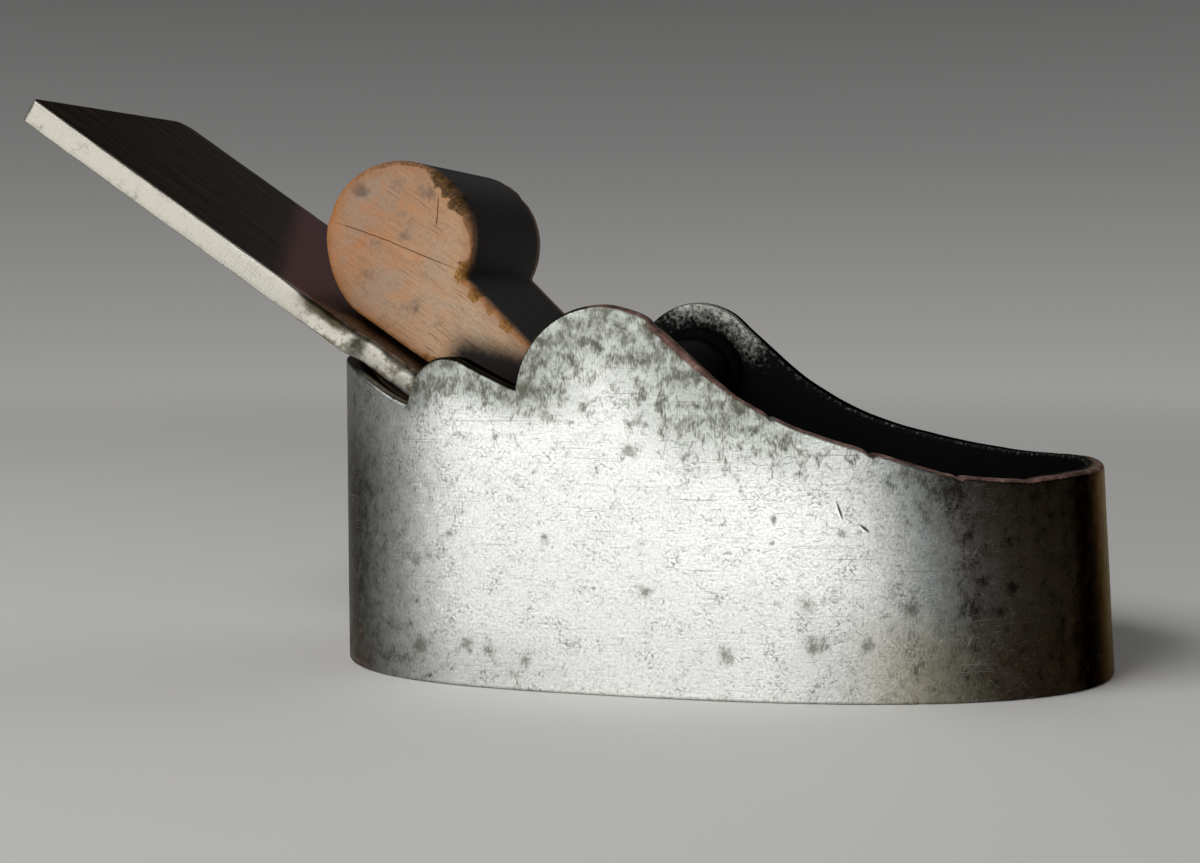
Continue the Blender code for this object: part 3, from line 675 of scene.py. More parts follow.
# From the bare metal outwards: where a coat lies, its colour, and how it mixes with what is below
coats = ((speck_mask, "#8f908b", "MIX"), (ticks, "#a3a4a0", "MIX"), (veil_mask, "#a1a59f", "MIX"),
         (blotch_mask, "#62645a", "MIX"), (shade_mask, "#25241f", "MIX"), (1.0, film, "MULTIPLY"),
         (fields["olive"], "#e8dfca", "MULTIPLY"), (fleck_mask, "#4d3e2c", "MIX"),
         (painted_tip_reflection_mask, "#d4bc9c", "MIX"), (scuff_mask, "#98948d", "LIGHTEN"), (spot_mask, spot_tone, "MIX"),
         # The white beside each nick is a painted glint
         (marks["nick_glints"], "#ffffff", "MIX"), (marks["nicks"], "#5c5d58", "MIX"),
         (rust_mask, rust_tone, "MIX"))
for mask, over, blend in coats:
    tone = add(tree, "Mix", (mask, tone, over), blend_type=blend, **COLOUR)
black_film = add(tree, "MapRange", (fields["tarnish_and_toe_shade"], 0.75, 1.0))
edge_tint = add(tree, "Mix", (black_film, "#e6e4de", "#4a4a49"), **COLOUR)
# The golden tint of the gloss at the tip is a painted reflection too
edge_tint = add(tree, "Mix", (fields["tip"], edge_tint, "#dccbb0"), **COLOUR)
rough = add(tree, "MapRange", (grain, 0.0, 1.0, 0.30, 0.42))
for mask, more in ((blotch_mask, 0.12), (rust_mask, 0.25)):
    rough = add(tree, "Math", (mask, more, rough), operation="MULTIPLY_ADD")
relief = grain
for mask, depth in ((speck_mask, -0.5), (ticks, -0.6), (spot_mask, -0.5), (marks["nicks"], -4.0)):
    relief = add(tree, "Math", (mask, depth, relief), operation="MULTIPLY_ADD")
join(tree, shader, {
    "Base Color": tone, "Specular Tint": edge_tint, "Roughness": rough,
    "Metallic": add(tree, "MapRange", (rust_mask, 0.0, 1.0, 1.0, 0.3)),
    "Normal": add(tree, "Bump", {"Height": relief, "Strength": 0.35, "Distance": 0.06 * MM})})
print(wall_steel.name + ":", len(tree.nodes), "nodes")

# %% Finish of the inner face, and the finished wall
SCALE_PATCH = 0.42 * MM

# Fire scale is black and dull, and wears to grey metal near the rim; the grey patch on the inner face of the
# humps is painted light
forge_black, tree, shader = start_finish("forge-black carbon steel")
wear = add(tree, "Attribute", take="Fac", attribute_name="inner_rub_and_painted_light")
scale = add(tree, "TexNoise", (add(tree, "TexCoord", take="Object"), 1 / SCALE_PATCH, 6.0, 0.7))
rub_and_light_mask = ragged(tree, (wear, 0.55, scale), 0.76, 1.16, **SOFT)
soot = add(tree, "Mix", (scale, "#030303", "#0a0908"), **COLOUR)
join(tree, shader, {
    "Base Color": add(tree, "Mix", (rub_and_light_mask, soot, "#a5a69f"), **COLOUR),
    "Metallic": rub_and_light_mask, "Specular IOR Level": 0.08,
    "Roughness": add(tree, "MapRange", (rub_and_light_mask, 0.0, 1.0, 0.70, 0.45)),
    "Normal": add(tree, "Bump", {"Height": scale, "Strength": 0.4, "Distance": 0.12 * MM})})

band = lofted("steel_wall", wall, wall_steel, forge_black, turned=True)
first_inner = 2 * ROUND_ROWS + OUTER_ROWS - 1
for polygon in band.data.polygons:
    if len(polygon.vertices) == 4 and first_inner <= polygon.vertices[0] % row_count < row_count - 1:
        polygon.material_index = 1
path = row_inset + np.where(inner_half, 2 * top - height, height)
set_field(band, "strip", spread(station_along[:, None], path, 0.0) / MM)
for name, values in (("patina", patina), ("tarnish_and_toe_shade", tarnish_and_toe_shade), ("shade", shade), ("olive", olive),
                     ("rust", rust), ("tip", tip), ("inner_rub_and_painted_light", inner_rub_and_painted_light)):
    set_field(band, name, np.broadcast_to(values, height.shape))
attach(band, "plane_body")
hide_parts("body_band")

# %% [markdown]
# The iron is a plain forged plate with a bevel ground under its edge. Its upper face is dark and oiled,
# and its sides are bare. Below the shoulders it is narrower, and there the arrises are hammered and worn
# in soft waves. It is a loft of sections along its own length, in the frame of the sloping bed.

# %% Mesh of the iron
EDGE_ALONG = 0.3 * MM / SIN_BED
IRON_LENGTH = 107.2 * MM
IRON_TAIL = EDGE_ALONG + IRON_LENGTH
BEVEL_SLOPE = math.tan(math.radians(25.0))
KEEN_EDGE = 0.02 * MM
NECK_END = 60.5 * MM
SHOULDER = 62.5 * MM
NEAR_CORNER = 0.6 * MM
FAR_CORNER = 2.0 * MM
TAIL_SKEW = 1.7 * MM
TAIL_SKEW_RUN = 18.0 * MM
ARRIS = 0.22 * MM
FINE_ARRIS = 0.12 * MM
WORN_ARRIS = 1.10 * MM
# Width of a worn arris on the face over its depth on the side
ARRIS_SPREAD = 1.25
# Angle round an arris, from the face, at which the oil ends
BARE_TURN = 0.7
TOP_POINTS = 26
SIDE_POINTS = 5
ARRIS_POINTS = 5
SURFACE_DROP = 0.05 * MM


def bed_to_world(along, across, over):
    """World place of a point given along the bed, across the plane and over the iron's upper face."""
    return spread(MOUTH_X - along * COS_BED + over * SIN_BED, across, along * SIN_BED + over * COS_BED)


iron_along = np.concatenate((np.linspace(EDGE_ALONG, IRON_TAIL - FAR_CORNER, 270)[:-1],
                             IRON_TAIL - FAR_CORNER * (1 - np.sin(np.linspace(0, math.pi / 2, 22)))))
iron_line = spread(iron_along, 0.0, 0.0)
half = IRON_WIDTH / 2 - smooth_step(SHOULDER, NECK_END, iron_along) * (IRON_WIDTH - NECK_WIDTH) / 2
forged = smooth_step(71.5 * MM, 65 * MM, iron_along) * smooth_step(18 * MM, 40 * MM, iron_along)


def corner_cut(radius):
    """How far a side is cut back near the tail by a rounded corner."""
    over = np.clip(iron_along - (IRON_TAIL - radius), 0.0, radius)
    return radius - np.sqrt(np.maximum(radius ** 2 - over ** 2, 0.0))


def worn(base, depth, seed):
    """Width of an arris along the iron: a base that wavers, and more where it was hammered."""
    wave = 0.55 + 0.45 * waver(iron_line, 3.2 * MM, seed) + 0.35 * waver(iron_line, 1.2 * MM, seed + 1)
    width = base * (1 + 0.5 * waver(iron_line, 2.0 * MM, seed + 2)) + forged * depth * np.clip(wave, 0.0, 1.3)
    return np.minimum(width, -0.45 * under)


under = -np.clip((iron_along - EDGE_ALONG) * BEVEL_SLOPE, KEEN_EDGE, IRON_THICKNESS)
near_edge = -half + corner_cut(NEAR_CORNER) + forged * 0.26 * MM * (1 + waver(iron_line, 3.4 * MM, 11))
far_edge = half - corner_cut(FAR_CORNER) - forged * 0.16 * MM * (1 + waver(iron_line, 4.0 * MM, 12))
near_top = worn(ARRIS, WORN_ARRIS, 21)
far_top = worn(ARRIS, WORN_ARRIS * 0.8, 31)
near_low = worn(FINE_ARRIS, FINE_ARRIS, 41)
far_low = worn(ARRIS, 0.4 * MM, 51)
near_wide = ARRIS_SPREAD * near_top
far_wide = ARRIS_SPREAD * far_top
bends = [(math.sin(turn), math.cos(turn), turn) for turn in np.linspace(0.0, math.pi / 2, ARRIS_POINTS)[1:]]
sides = np.linspace(0.0, 1.0, SIDE_POINTS)[1:]
# Across, level and how bare, in turn: upper face, far arris, far side, far lower arris, underside,
# near lower arris, near side and near arris
section = [(near_edge + near_wide + share * (far_edge - near_edge - near_wide - far_wide), 0 * under, 0.0)
           for share in np.linspace(0.0, 1.0, TOP_POINTS)]
section += [(far_edge - far_wide * (1 - sine), -far_top * (1 - cosine), min(turn / BARE_TURN, 1.0))
            for sine, cosine, turn in bends]
section += [(far_edge, -far_top + share * (under + far_low + far_top), 1.0) for share in sides]
section += [(far_edge - far_low * (1 - cosine), under + far_low * (1 - sine), 0.9)
            for sine, cosine, _ in bends]
section += [(far_edge - far_low - share * (far_edge - near_edge - far_low - near_low), under, 0.45)
            for share in np.linspace(0.0, 1.0, TOP_POINTS // 2)[1:]]
section += [(near_edge + near_low * (1 - sine), under + near_low * (1 - cosine), 0.9)
            for sine, cosine, _ in bends]
section += [(near_edge, under + near_low - share * (near_top + under + near_low), 1.0) for share in sides]
section += [(near_edge + near_wide * (1 - cosine), -near_top * (1 - sine),
             min((math.pi / 2 - turn) / BARE_TURN, 1.0)) for sine, cosine, turn in bends[:-1]]
columns, levels, bares = zip(*section)
iron_across = np.stack(columns, axis=1)
iron_level = np.stack(levels, axis=1)
iron_bare = np.broadcast_to(np.array(bares), iron_across.shape)
iron_bed = spread(iron_along[:, None], iron_across, iron_level)
hammered = forged[:, None]
uneven = 0.02 * MM * waver(iron_bed, 6.0 * MM, 13) + hammered * 0.07 * MM * waver(iron_bed, 2.4 * MM, 14)
uneven -= SURFACE_DROP
iron_bed[..., 2] += np.where(iron_bare < 0.5, np.minimum(uneven, 0.0), uneven)
iron_bed[..., 1] += np.where(iron_bare > 0.8, hammered * 0.10 * MM * waver(iron_bed, 2.0 * MM, 15), 0.0)
# The tail was sheared a little out of square, shorter on the near side
near_share = np.clip(0.5 - iron_bed[..., 1] / IRON_WIDTH, 0.0, 1.0)
skewed = smooth_step(IRON_TAIL - TAIL_SKEW_RUN, IRON_TAIL, iron_along)
iron_bed[..., 0] -= TAIL_SKEW * near_share * skewed[:, None]
iron_points = bed_to_world(*np.moveaxis(iron_bed, -1, 0))
print("iron tail at", [round(float(v) / MM, 1) for v in iron_points[-1, 0]])

# %% [markdown]
# The bare sides are filed carbon steel, a warm light grey with file strokes across the edge, three to
# four to the millimetre, in one stretch above the shoulder. The upper face is the same steel under an old
# coat of oil and oxide: brown-black, wiped lengthwise and glossy, with a red-brown patch beside the wedge.

# %% Finish of the iron
FILE_PITCH = 0.28
OIL_STREAK = 1.0
# Patches of the oily skin, and specks of the steel, to the millimetre
SKIN_PER_MM = 0.9
SPECKS_PER_MM = 3.2
# Width of a streak over its length
STREAK_SLENDER = 0.07

iron_steel, tree, shader = start_finish("filed and oil-blackened iron")
bed = add(tree, "Attribute", take="Vector", attribute_name="bed")
fields = {name: add(tree, "Attribute", take="Fac", attribute_name=name)
          for name in ("bare", "filed", "red_brown_patch", "forged", "sooty")}
skin = add(tree, "TexNoise", (bed, SKIN_PER_MM, 6.0, 0.65))
speck = add(tree, "TexNoise", (bed, SPECKS_PER_MM, 3.0, 0.6))
streaks = drawn_out(tree, bed, (OIL_STREAK / STREAK_SLENDER, OIL_STREAK, 1.0), 5.0)
oiled = add(tree, "Mix", (add(tree, "MapRange", (streaks, 0.38, 0.66)), "#100a06", "#33251a"), **COLOUR)
red_brown_patch_mask = ragged(tree, (skin, 0.5, fields["red_brown_patch"]), 0.25, 1.25)
oiled = add(tree, "Mix", (red_brown_patch_mask, oiled, "#61403f"), **COLOUR)
strokes = add(tree, "TexWave", {"Vector": bed, "Scale": math.pi / 10 / FILE_PITCH, "Distortion": 2.4,
                                "Detail": 2.0, "Detail Scale": 2.0}, take="Fac", wave_type="BANDS",
              bands_direction="X")
stroke_depth = add(tree, "Math", (strokes, fields["filed"]), operation="MULTIPLY")
pit_mask = ragged(tree, (fields["forged"], 0.16, skin), 0.60, 0.78, **SOFT)
steel = add(tree, "Mix", (speck, "#a09c92", "#bab7ad"), **COLOUR)
for mask, code in ((add(tree, "MapRange", (skin, 0.56, 0.78)), "#7d796b"),
                   (add(tree, "Math", (pit_mask, fields["forged"]), operation="MULTIPLY"), "#6b6757"),
                   (ragged(tree, (skin, 0.5, fields["sooty"]), 0.45, 1.05, **SOFT), "#4a4434"),
                   (add(tree, "MapRange", (stroke_depth, 0.35, 1.0, 0.0, 0.45)), "#d6d3c9")):
    steel = add(tree, "Mix", (mask, steel, code), **COLOUR)
bare_mask = ragged(tree, (skin, 0.2, fields["bare"]), 0.42, 0.76, **SOFT)
rough_bare = add(tree, "MapRange", (speck, 0.0, 1.0, 0.38, 0.52))
rough_oil = add(tree, "MapRange", (skin, 0.0, 1.0, 0.13, 0.28))
relief = add(tree, "Math", (speck, 0.25, stroke_depth), operation="MULTIPLY_ADD")
join(tree, shader, {
    "Base Color": add(tree, "Mix", (bare_mask, oiled, steel), **COLOUR), "Metallic": bare_mask,
    "Roughness": add(tree, "Mix", (bare_mask, rough_oil, rough_bare)),
    "Specular IOR Level": 0.14, "Specular Tint": "#d6b8a4",
    "Normal": add(tree, "Bump", {"Height": relief, "Strength": 0.35, "Distance": 0.06 * MM})})

iron = lofted("forged_iron", iron_points, iron_steel)
# Places in mm, along the bed from the mouth
along = iron_bed[..., 0] / MM
station = iron_along[:, None] / MM
# The red-brown patch by the wedge reaches further up the iron on the far side
patch_end = 80.5 + iron_bed[..., 1] / MM * 0.464
filed = smooth_step(69.5, 71.5, station) * smooth_step(80.5, 78, station)
red_brown_patch = smooth_step(patch_end + 1.5, patch_end - 1.5, along) * smooth_step(65, 71, along)
sooty = 0.85 * smooth_step(72, 67, station) * smooth_step(60, 65, station) * (iron_across < 0)
sooty *= smooth_step(-1.5, -0.8, iron_level / MM)
set_field(iron, "bed", iron_bed / MM)
for name, values in (("bare", iron_bare), ("forged", np.broadcast_to(hammered, iron_bare.shape)),
                     ("filed", filed * iron_bare), ("red_brown_patch", red_brown_patch), ("sooty", sooty * iron_bare)):
    set_field(iron, name, values)
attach(iron, "iron")
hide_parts("cutting_iron")

# %% [markdown]
# The wedge is sawn from a board of red-brown hardwood with the grain running down its length. Its outline
# is a flat underside, a round head to push on and a straight front that bears on the bar. The edge strip
# is a loft round that outline, whose corner radius changes where the arris is rubbed or has broken away.
# The two flat faces are filled with a fine triangle net, so that the two cracks in the head can be real
# grooves.

# %% Outline of the wedge
BAR_RADIUS = 4.15 * MM
CLEAR = 0.3 * MM
WEDGE_WIDTH = 25.0 * MM
WEDGE_TAPER = math.radians(10.5)
WEDGE_TIP = 1.2 * MM
HEAD_ALONG = 65.3 * MM
HEAD_RADIUS = 8.2 * MM
HEAD_LIFT = 0.8 * MM
HEEL_ANGLE = math.radians(-45.0)
OUTLINE_PITCH = 0.34 * MM


def even_line(knots, count):
    """Points at an even pitch along a line of knots."""
    along = run_length(*knots.T)
    steps = np.linspace(0.0, along[-1], count)
    return np.stack([np.interp(steps, along, axis) for axis in knots.T], axis=-1)


def wedge_outline():
    """Closed outline of the wedge, along the bed and over the iron, at an even pitch."""
    bar_along = HUMP_Z * SIN_BED - (HUMP_X - MOUTH_X) * COS_BED
    bar_over = (HUMP_X - MOUTH_X) * SIN_BED + HUMP_Z * COS_BED
    slope = math.tan(WEDGE_TAPER)
    rise = bar_over - (BAR_RADIUS + CLEAR) / math.cos(WEDGE_TAPER) - bar_along * slope
    centre = CLEAR + HEAD_LIFT + HEAD_RADIUS
    below = (centre - rise - HEAD_ALONG * slope) * math.cos(WEDGE_TAPER)
    meet = math.pi + WEDGE_TAPER + math.asin(below / HEAD_RADIUS)
    tip = (CLEAR + WEDGE_TIP - rise) / slope
    heel = (HEAD_ALONG + HEAD_RADIUS * math.cos(HEEL_ANGLE), centre + HEAD_RADIUS * math.sin(HEEL_ANGLE))
    corner = heel[0] - (heel[1] - CLEAR) / math.tan(-HEEL_ANGLE)
    foot = 2 * corner - heel[0]
    t = np.linspace(0.0, 1.0, 40)
    bend = np.stack(((1 - t) ** 2 * foot + 2 * t * (1 - t) * corner + t * t * heel[0],
                     CLEAR + t * t * (heel[1] - CLEAR)), axis=-1)
    head = np.linspace(HEEL_ANGLE, meet, 200)[1:]
    arc = np.stack((HEAD_ALONG + HEAD_RADIUS * np.cos(head), centre + HEAD_RADIUS * np.sin(head)), axis=-1)
    knots = np.concatenate(([[tip, CLEAR + WEDGE_TIP], [tip, CLEAR]], bend, arc, [[tip, CLEAR + WEDGE_TIP]]))
    return even_line(knots, int(run_length(*knots.T)[-1] / OUTLINE_PITCH))[:-1]


outline = wedge_outline()
ring_size = len(outline)
ahead = np.roll(outline, -2, axis=0) - np.roll(outline, 2, axis=0)
inward = np.stack((-ahead[:, 1], ahead[:, 0]), axis=-1)
inward /= np.linalg.norm(inward, axis=-1, keepdims=True)
print("wedge outline:", ring_size, "points,", np.round(np.ptp(outline, axis=0) / MM, 1).tolist(), "mm")

# %% Edge strip of the wedge
EDGE_ROUND = 0.38 * MM
ROUND_LIMITS = (0.15 * MM, 1.7 * MM)
EDGE_STEPS = 6
BACK_STEPS = 16
BREAK_ROUGHNESS = 0.16 * MM
# Broken stretches of the near arris: middle along the bed and over the iron, reach and depth in mm
CHIPS = ((62.4, 16.7, 2.6, 1.15), (65.4, 17.5, 1.4, 0.7), (60.2, 14.6, 1.2, 0.9), (57.7, 10.6, 1.3, 0.9),
         (55.0, 9.7, 0.9, 0.8), (53.0, 9.3, 0.7, 0.5), (50.4, 8.9, 1.0, 0.6), (55.2, 0.4, 1.6, 0.7),
         (70.6, 14.8, 1.0, 0.5), (73.2, 7.0, 0.8, 0.4))
# The far arris has only the first few, moved a little and smaller
FAR_CHIPS = [(along + 0.8, over, reach * 0.8, depth * 0.6) for along, over, reach, depth in CHIPS[:4]]


def arris_radius(seed, chips):
    """Corner radius round the outline: rubbed unevenly, and larger where a chip has come away."""
    places = np.insert(outline, 2, 0.0, axis=1)
    radius = EDGE_ROUND * (1 + 0.35 * waver(places, 2.5 * MM, seed) + 0.2 * waver(places, 0.9 * MM, seed + 1))
    chipped = 0.75 + 0.6 * waver(places, 0.7 * MM, seed + 2)
    for along, over, reach, depth in chips:
        apart = np.hypot(*(outline / MM - (along, over)).T) / reach
        radius += depth * MM * chipped * smooth_step(1.15, 0.35, apart)
    return np.clip(radius, *ROUND_LIMITS)


near_round = arris_radius(61, CHIPS)
far_round = arris_radius(71, FAR_CHIPS)
near_y = -WEDGE_WIDTH / 2
far_y = WEDGE_WIDTH / 2
back = (far_y - far_round) - (near_y + near_round)
bends = [(1 - math.sin(angle), 1 - math.cos(angle)) for angle in np.linspace(0.0, math.pi / 2, EDGE_STEPS)]
# Each ring: corner radius, share of it that the ring is set in, place across, and whether it is arris
levels = [(near_round, cut, near_y + near_round * deep, 1.0) for cut, deep in bends]
levels += [(near_round, 0.0, near_y + near_round + share * back, 0.0)
           for share in np.linspace(0.0, 1.0, BACK_STEPS)[1:-1]]
levels += [(far_round, cut, far_y - far_round * deep, 1.0) for cut, deep in bends[::-1]]
rings = np.stack([np.insert(outline + inward * (radius * cut)[:, None], 1, across, axis=1)
                  for radius, cut, across, _ in levels])
arris = np.stack([np.full(ring_size, share) for _, _, _, share in levels])
broken = arris * smooth_step(0.55 * MM, 0.95 * MM, np.stack([radius for radius, _, _, _ in levels]))
splintered = BREAK_ROUGHNESS * broken * waver(rings, 0.8 * MM, 81)
rings[1:-1] += np.insert(inward, 1, 0.0, axis=1) * splintered[1:-1, :, None]
print("wedge edge:", len(rings), "rings")

# %% Faces of the wedge
NET_PITCH = 0.55 * MM
CRACK_DEPTH = 0.11 * MM
CRACK_HALF_WIDTH = 0.07 * MM
CRACK_POINTS = 44
# Cracks on the near face, along the bed and over the iron, in mm
CRACKS = (((72.2, 6.9), (69.4, 7.7), (66.2, 8.5), (63.0, 9.2), (58.4, 10.2)),
          ((64.1, 15.4), (63.5, 14.4), (62.6, 12.7)))


def inside_outline(points, loop):
    """Which points lie inside a closed loop."""
    result = np.zeros(len(points), bool)
    for (ax, ay), (bx, by) in zip(loop, np.roll(loop, -1, axis=0)):
        crosses = (ay > points[:, 1]) != (by > points[:, 1])
        gap = by - ay if by != ay else 1e-12
        result ^= crosses & (points[:, 0] < (bx - ax) * (points[:, 1] - ay) / gap + ax)
    return result


def face_net(loop, lines):
    """Triangle net over a flat face: its loop first, then points of lines that it keeps, then a grid."""
    spans = [np.arange(low, high, NET_PITCH) for low, high in zip(loop.min(axis=0), loop.max(axis=0))]
    grid = np.stack(np.meshgrid(*spans), axis=-1).reshape(-1, 2)
    count = np.arange(len(grid))
    grid = grid + 0.15 * NET_PITCH * np.column_stack((np.sin(count * 12.9), np.cos(count * 7.7)))
    grid = grid[inside_outline(grid, loop)]
    fixed = np.concatenate([loop] + lines)
    clear = np.array([np.hypot(*(fixed - place).T).min() > 0.45 * NET_PITCH for place in grid])
    edges = [(index, (index + 1) % len(loop)) for index in range(len(loop))]
    start = len(loop)
    for line in lines:
        edges += [(start + index, start + index + 1) for index in range(len(line) - 1)]
        start += len(line)
    points = [Vector(point) for point in np.concatenate((fixed, grid[clear]))]
    made = delaunay_2d_cdt(points, edges, [], 1, 1e-9)
    return made[0], made[2], made[3]


def crack_line(course, offset):
    """A crack's course at an even pitch, moved aside by an offset that closes at its ends."""
    line = even_line(np.array(course) * MM, CRACK_POINTS)
    line[:, 1] += 0.05 * MM * waver(np.insert(line, 2, 0.0, axis=1), 1.1 * MM, 91)
    share = np.linspace(0.0, 1.0, CRACK_POINTS)
    closing = np.minimum(1.0, 6.0 * np.minimum(share + 0.04, 1.02 - share))
    aside = np.gradient(line, axis=0)[:, ::-1] * (-1.0, 1.0)
    aside /= np.linalg.norm(aside, axis=1, keepdims=True)
    return line + offset * closing[:, None] * aside, closing


crack_points = []
groove_depth = {}
for course in CRACKS:
    for offset in (-CRACK_HALF_WIDTH, 0.0, CRACK_HALF_WIDTH):
        line, closing = crack_line(course, offset)
        if offset == 0.0:
            start = ring_size + CRACK_POINTS * len(crack_points)
            groove_depth.update((start + index, CRACK_DEPTH * share) for index, share in enumerate(closing))
        crack_points.append(line)

wedge_bed = rings.reshape(-1, 3)
wedge_faces = loft_faces(len(rings), ring_size)
crack = np.zeros(len(wedge_bed))
last_ring = len(wedge_bed) - ring_size
for ring_start, lines, y, sign in ((0, crack_points, near_y, 1), (last_ring, [], far_y, -1)):
    points, faces, source = face_net(wedge_bed[ring_start:ring_start + ring_size, [0, 2]], lines)
    names = []
    extra = []
    depths = []
    for point, origins in zip(points, source):
        on_ring = [origin for origin in origins if origin < ring_size]
        names.append(ring_start + on_ring[0] if on_ring else len(wedge_bed) + len(extra))
        if not on_ring:
            grooves = [groove_depth[origin] for origin in origins if lines and origin in groove_depth]
            depths.append(max(grooves, default=0.0))
            extra.append((point[0], y + sign * depths[-1], point[1]))
    for face in faces:
        wedge_faces.append(tuple(names[index] for index in face)[::-sign])
    extra = np.array(extra)
    extra[:, 1] += sign * (0.03 * MM * waver(extra, 3.0 * MM, 95 + sign) + 0.02 * MM)
    wedge_bed = np.concatenate((wedge_bed, extra))
    crack = np.concatenate((crack, np.array(depths) > 0))
    print("wedge face:", len(faces), "triangles")
wedge_world = bed_to_world(*wedge_bed.T)

# %% [markdown]
# Old fruitwood: an orange-brown ground with darker streaks along the grain, half a millimetre or so wide,
# and short dark pores. Handling has greyed the flat face in soft patches. The arris is rubbed to orange low
# down and painted dark brown at the head as shade. Breaks are ochre on the tongue, and painted dark at the
# head as shade. Below the rim of the wall the tongue is painted dark as the wall's shadow, and the front
# that bears on the bar is painted dark as shade.

# %% Finish of the wedge
STREAK_WIDTH = 0.55
PORE_WIDTH = 0.13
PORE_LENGTH = 3.2
PATCH_SIZE = 2.0
CLOUD_SIZE = 4.5
FUZZ_SIZE = 0.32
# Specks that break up the edges of stains, to the millimetre
GRIT_PER_MM = 2.6
# Where the head passes into the tongue along the bed, and where its top begins over the bed, in mm
HEAD_END = (67.0, 54.0)
HEAD_TOP = (10.0, 16.0)

wedge_wood, tree, shader = start_finish("old red-brown fruitwood")
bed = add(tree, "Attribute", take="Vector", attribute_name="bed")
fields = {name: add(tree, "Attribute", take="Fac", attribute_name=name)
          for name in ("worn", "broken", "crack", "painted_shadow_and_shade", "border", "stained")}
streaks = drawn_out(tree, bed, (STREAK_WIDTH / STREAK_SLENDER, STREAK_WIDTH, STREAK_WIDTH), 5.0, 0.6, 0.25)
pores = drawn_out(tree, bed, (PORE_LENGTH, PORE_WIDTH, PORE_WIDTH), 1.0)
patches = add(tree, "TexNoise", (bed, 1 / PATCH_SIZE, 2.5, 0.6))
specks = add(tree, "TexNoise", (bed, GRIT_PER_MM, 3.0, 0.6))
clouds = add(tree, "TexNoise", (bed, 1 / CLOUD_SIZE, 3.0))
fuzz = add(tree, "TexNoise", (bed, 1 / FUZZ_SIZE, 3.0, 0.7))
pale_mask = add(tree, "MapRange", (add(tree, "SeparateXYZ", (bed,), take="X"), *HEAD_END, 0.0, 0.62))
high = add(tree, "MapRange", (add(tree, "SeparateXYZ", (bed,), take="Z"), *HEAD_TOP))
cloudy = add(tree, "Math", (fields["stained"], 0.24, patches), operation="MULTIPLY_ADD")
pore_mask = ragged(tree, (pale_mask, 0.08, pores), 0.61, 0.86)
# Higher over the iron, at the head, the arris and the breaks are painted dark as shade
arris_tone = add(tree, "Mix", (high, "#a06a38", "#5e3c22"), **COLOUR)
splinters = add(tree, "MapRange", (fuzz, 0.36, 0.66))
fresh = add(tree, "Mix", (splinters, "#6a4522", "#b98844"), **COLOUR)
shaded_break = add(tree, "Mix", (splinters, "#33200f", "#745530"), **COLOUR)
break_tone = add(tree, "Mix", (high, fresh, shaded_break), **COLOUR)
tone = add(tree, "ValToRGB", (streaks,), stops=((0.20, "#a07350"), (0.50, "#b6865e"), (0.80, "#c49870")))
# From the bare wood outwards: clouds, warm and pale wood, grey stains, fuzz, pores, border, arris, breaks,
# oil and cracks
for mask, over in ((add(tree, "MapRange", (clouds, 0.36, 0.64, 0.0, 0.9)), "#a48c78"),
                   (add(tree, "MapRange", (patches, 0.50, 0.32, 0.0, 0.6)), "#bc7a49"),
                   (pale_mask, "#d4b696"),
                   (ragged(tree, (specks, 0.3, cloudy), 0.70, 1.12, 0.8, **SOFT), "#5f544d"),
                   (add(tree, "MapRange", (fuzz, 0.50, 0.78, 0.0, 0.6)), "#80604a"),
                   (pore_mask, "#745540"),
                   (ragged(tree, (patches, 0.9, fields["border"]), 0.65, 1.65, 0.5, **SOFT), "#a0683c"),
                   (ragged(tree, (specks, 0.8, fields["worn"]), 1.05, 1.60, **SOFT), arris_tone),
                   (ragged(tree, (specks, 0.9, fields["broken"]), 0.85, 1.25), break_tone),
                   # Near black: the painted shadow of the wall on the tongue, and painted shade on the front
                   # of the wedge
                   (ragged(tree, (specks, 0.25, fields["painted_shadow_and_shade"]), 0.10, 0.95, **SOFT), "#150d09"),
                   (fields["crack"], "#6b4a33")):
    tone = add(tree, "Mix", (mask, tone, over), **COLOUR)
relief = add(tree, "Math", (pore_mask, -0.8, streaks), operation="MULTIPLY_ADD")
join(tree, shader, {
    "Base Color": tone, "Specular IOR Level": 0.2,
    "Roughness": add(tree, "MapRange", (streaks, 0.0, 1.0, 0.52, 0.72)),
    "Normal": add(tree, "Bump", {"Height": relief, "Strength": 0.35, "Distance": 0.08 * MM})})
print(wedge_wood.name + ":", len(tree.nodes), "nodes")

# %% The finished wedge
# Width of the darker border round the face, in mm
BORDER = 2.4
# The painted shadow of the wall on the tongue: height at its upper end, X there, fall per length and fade, in
# mm
SHADOW_LINE = 36.2
SHADOW_START = -26.5
SHADOW_SLOPE = 0.22
SHADOW_FADE = 5.0
# Grey stains on the near face: along the bed, over the iron, radius in mm, and strength
STAINS = ((71.7, 11.3, 0.9, 1.0), (66.9, 12.3, 1.4, 0.6), (64.8, 10.2, 0.8, 0.7), (67.4, 7.0, 0.9, 0.6),
          (65.8, 4.2, 1.0, 0.7), (60.4, 4.2, 1.6, 0.8), (70.9, 6.8, 0.9, 0.4), (57.1, 1.6, 1.0, 0.5),
          (65.5, 15.3, 1.2, 0.6), (68.9, 14.0, 0.9, 0.4))

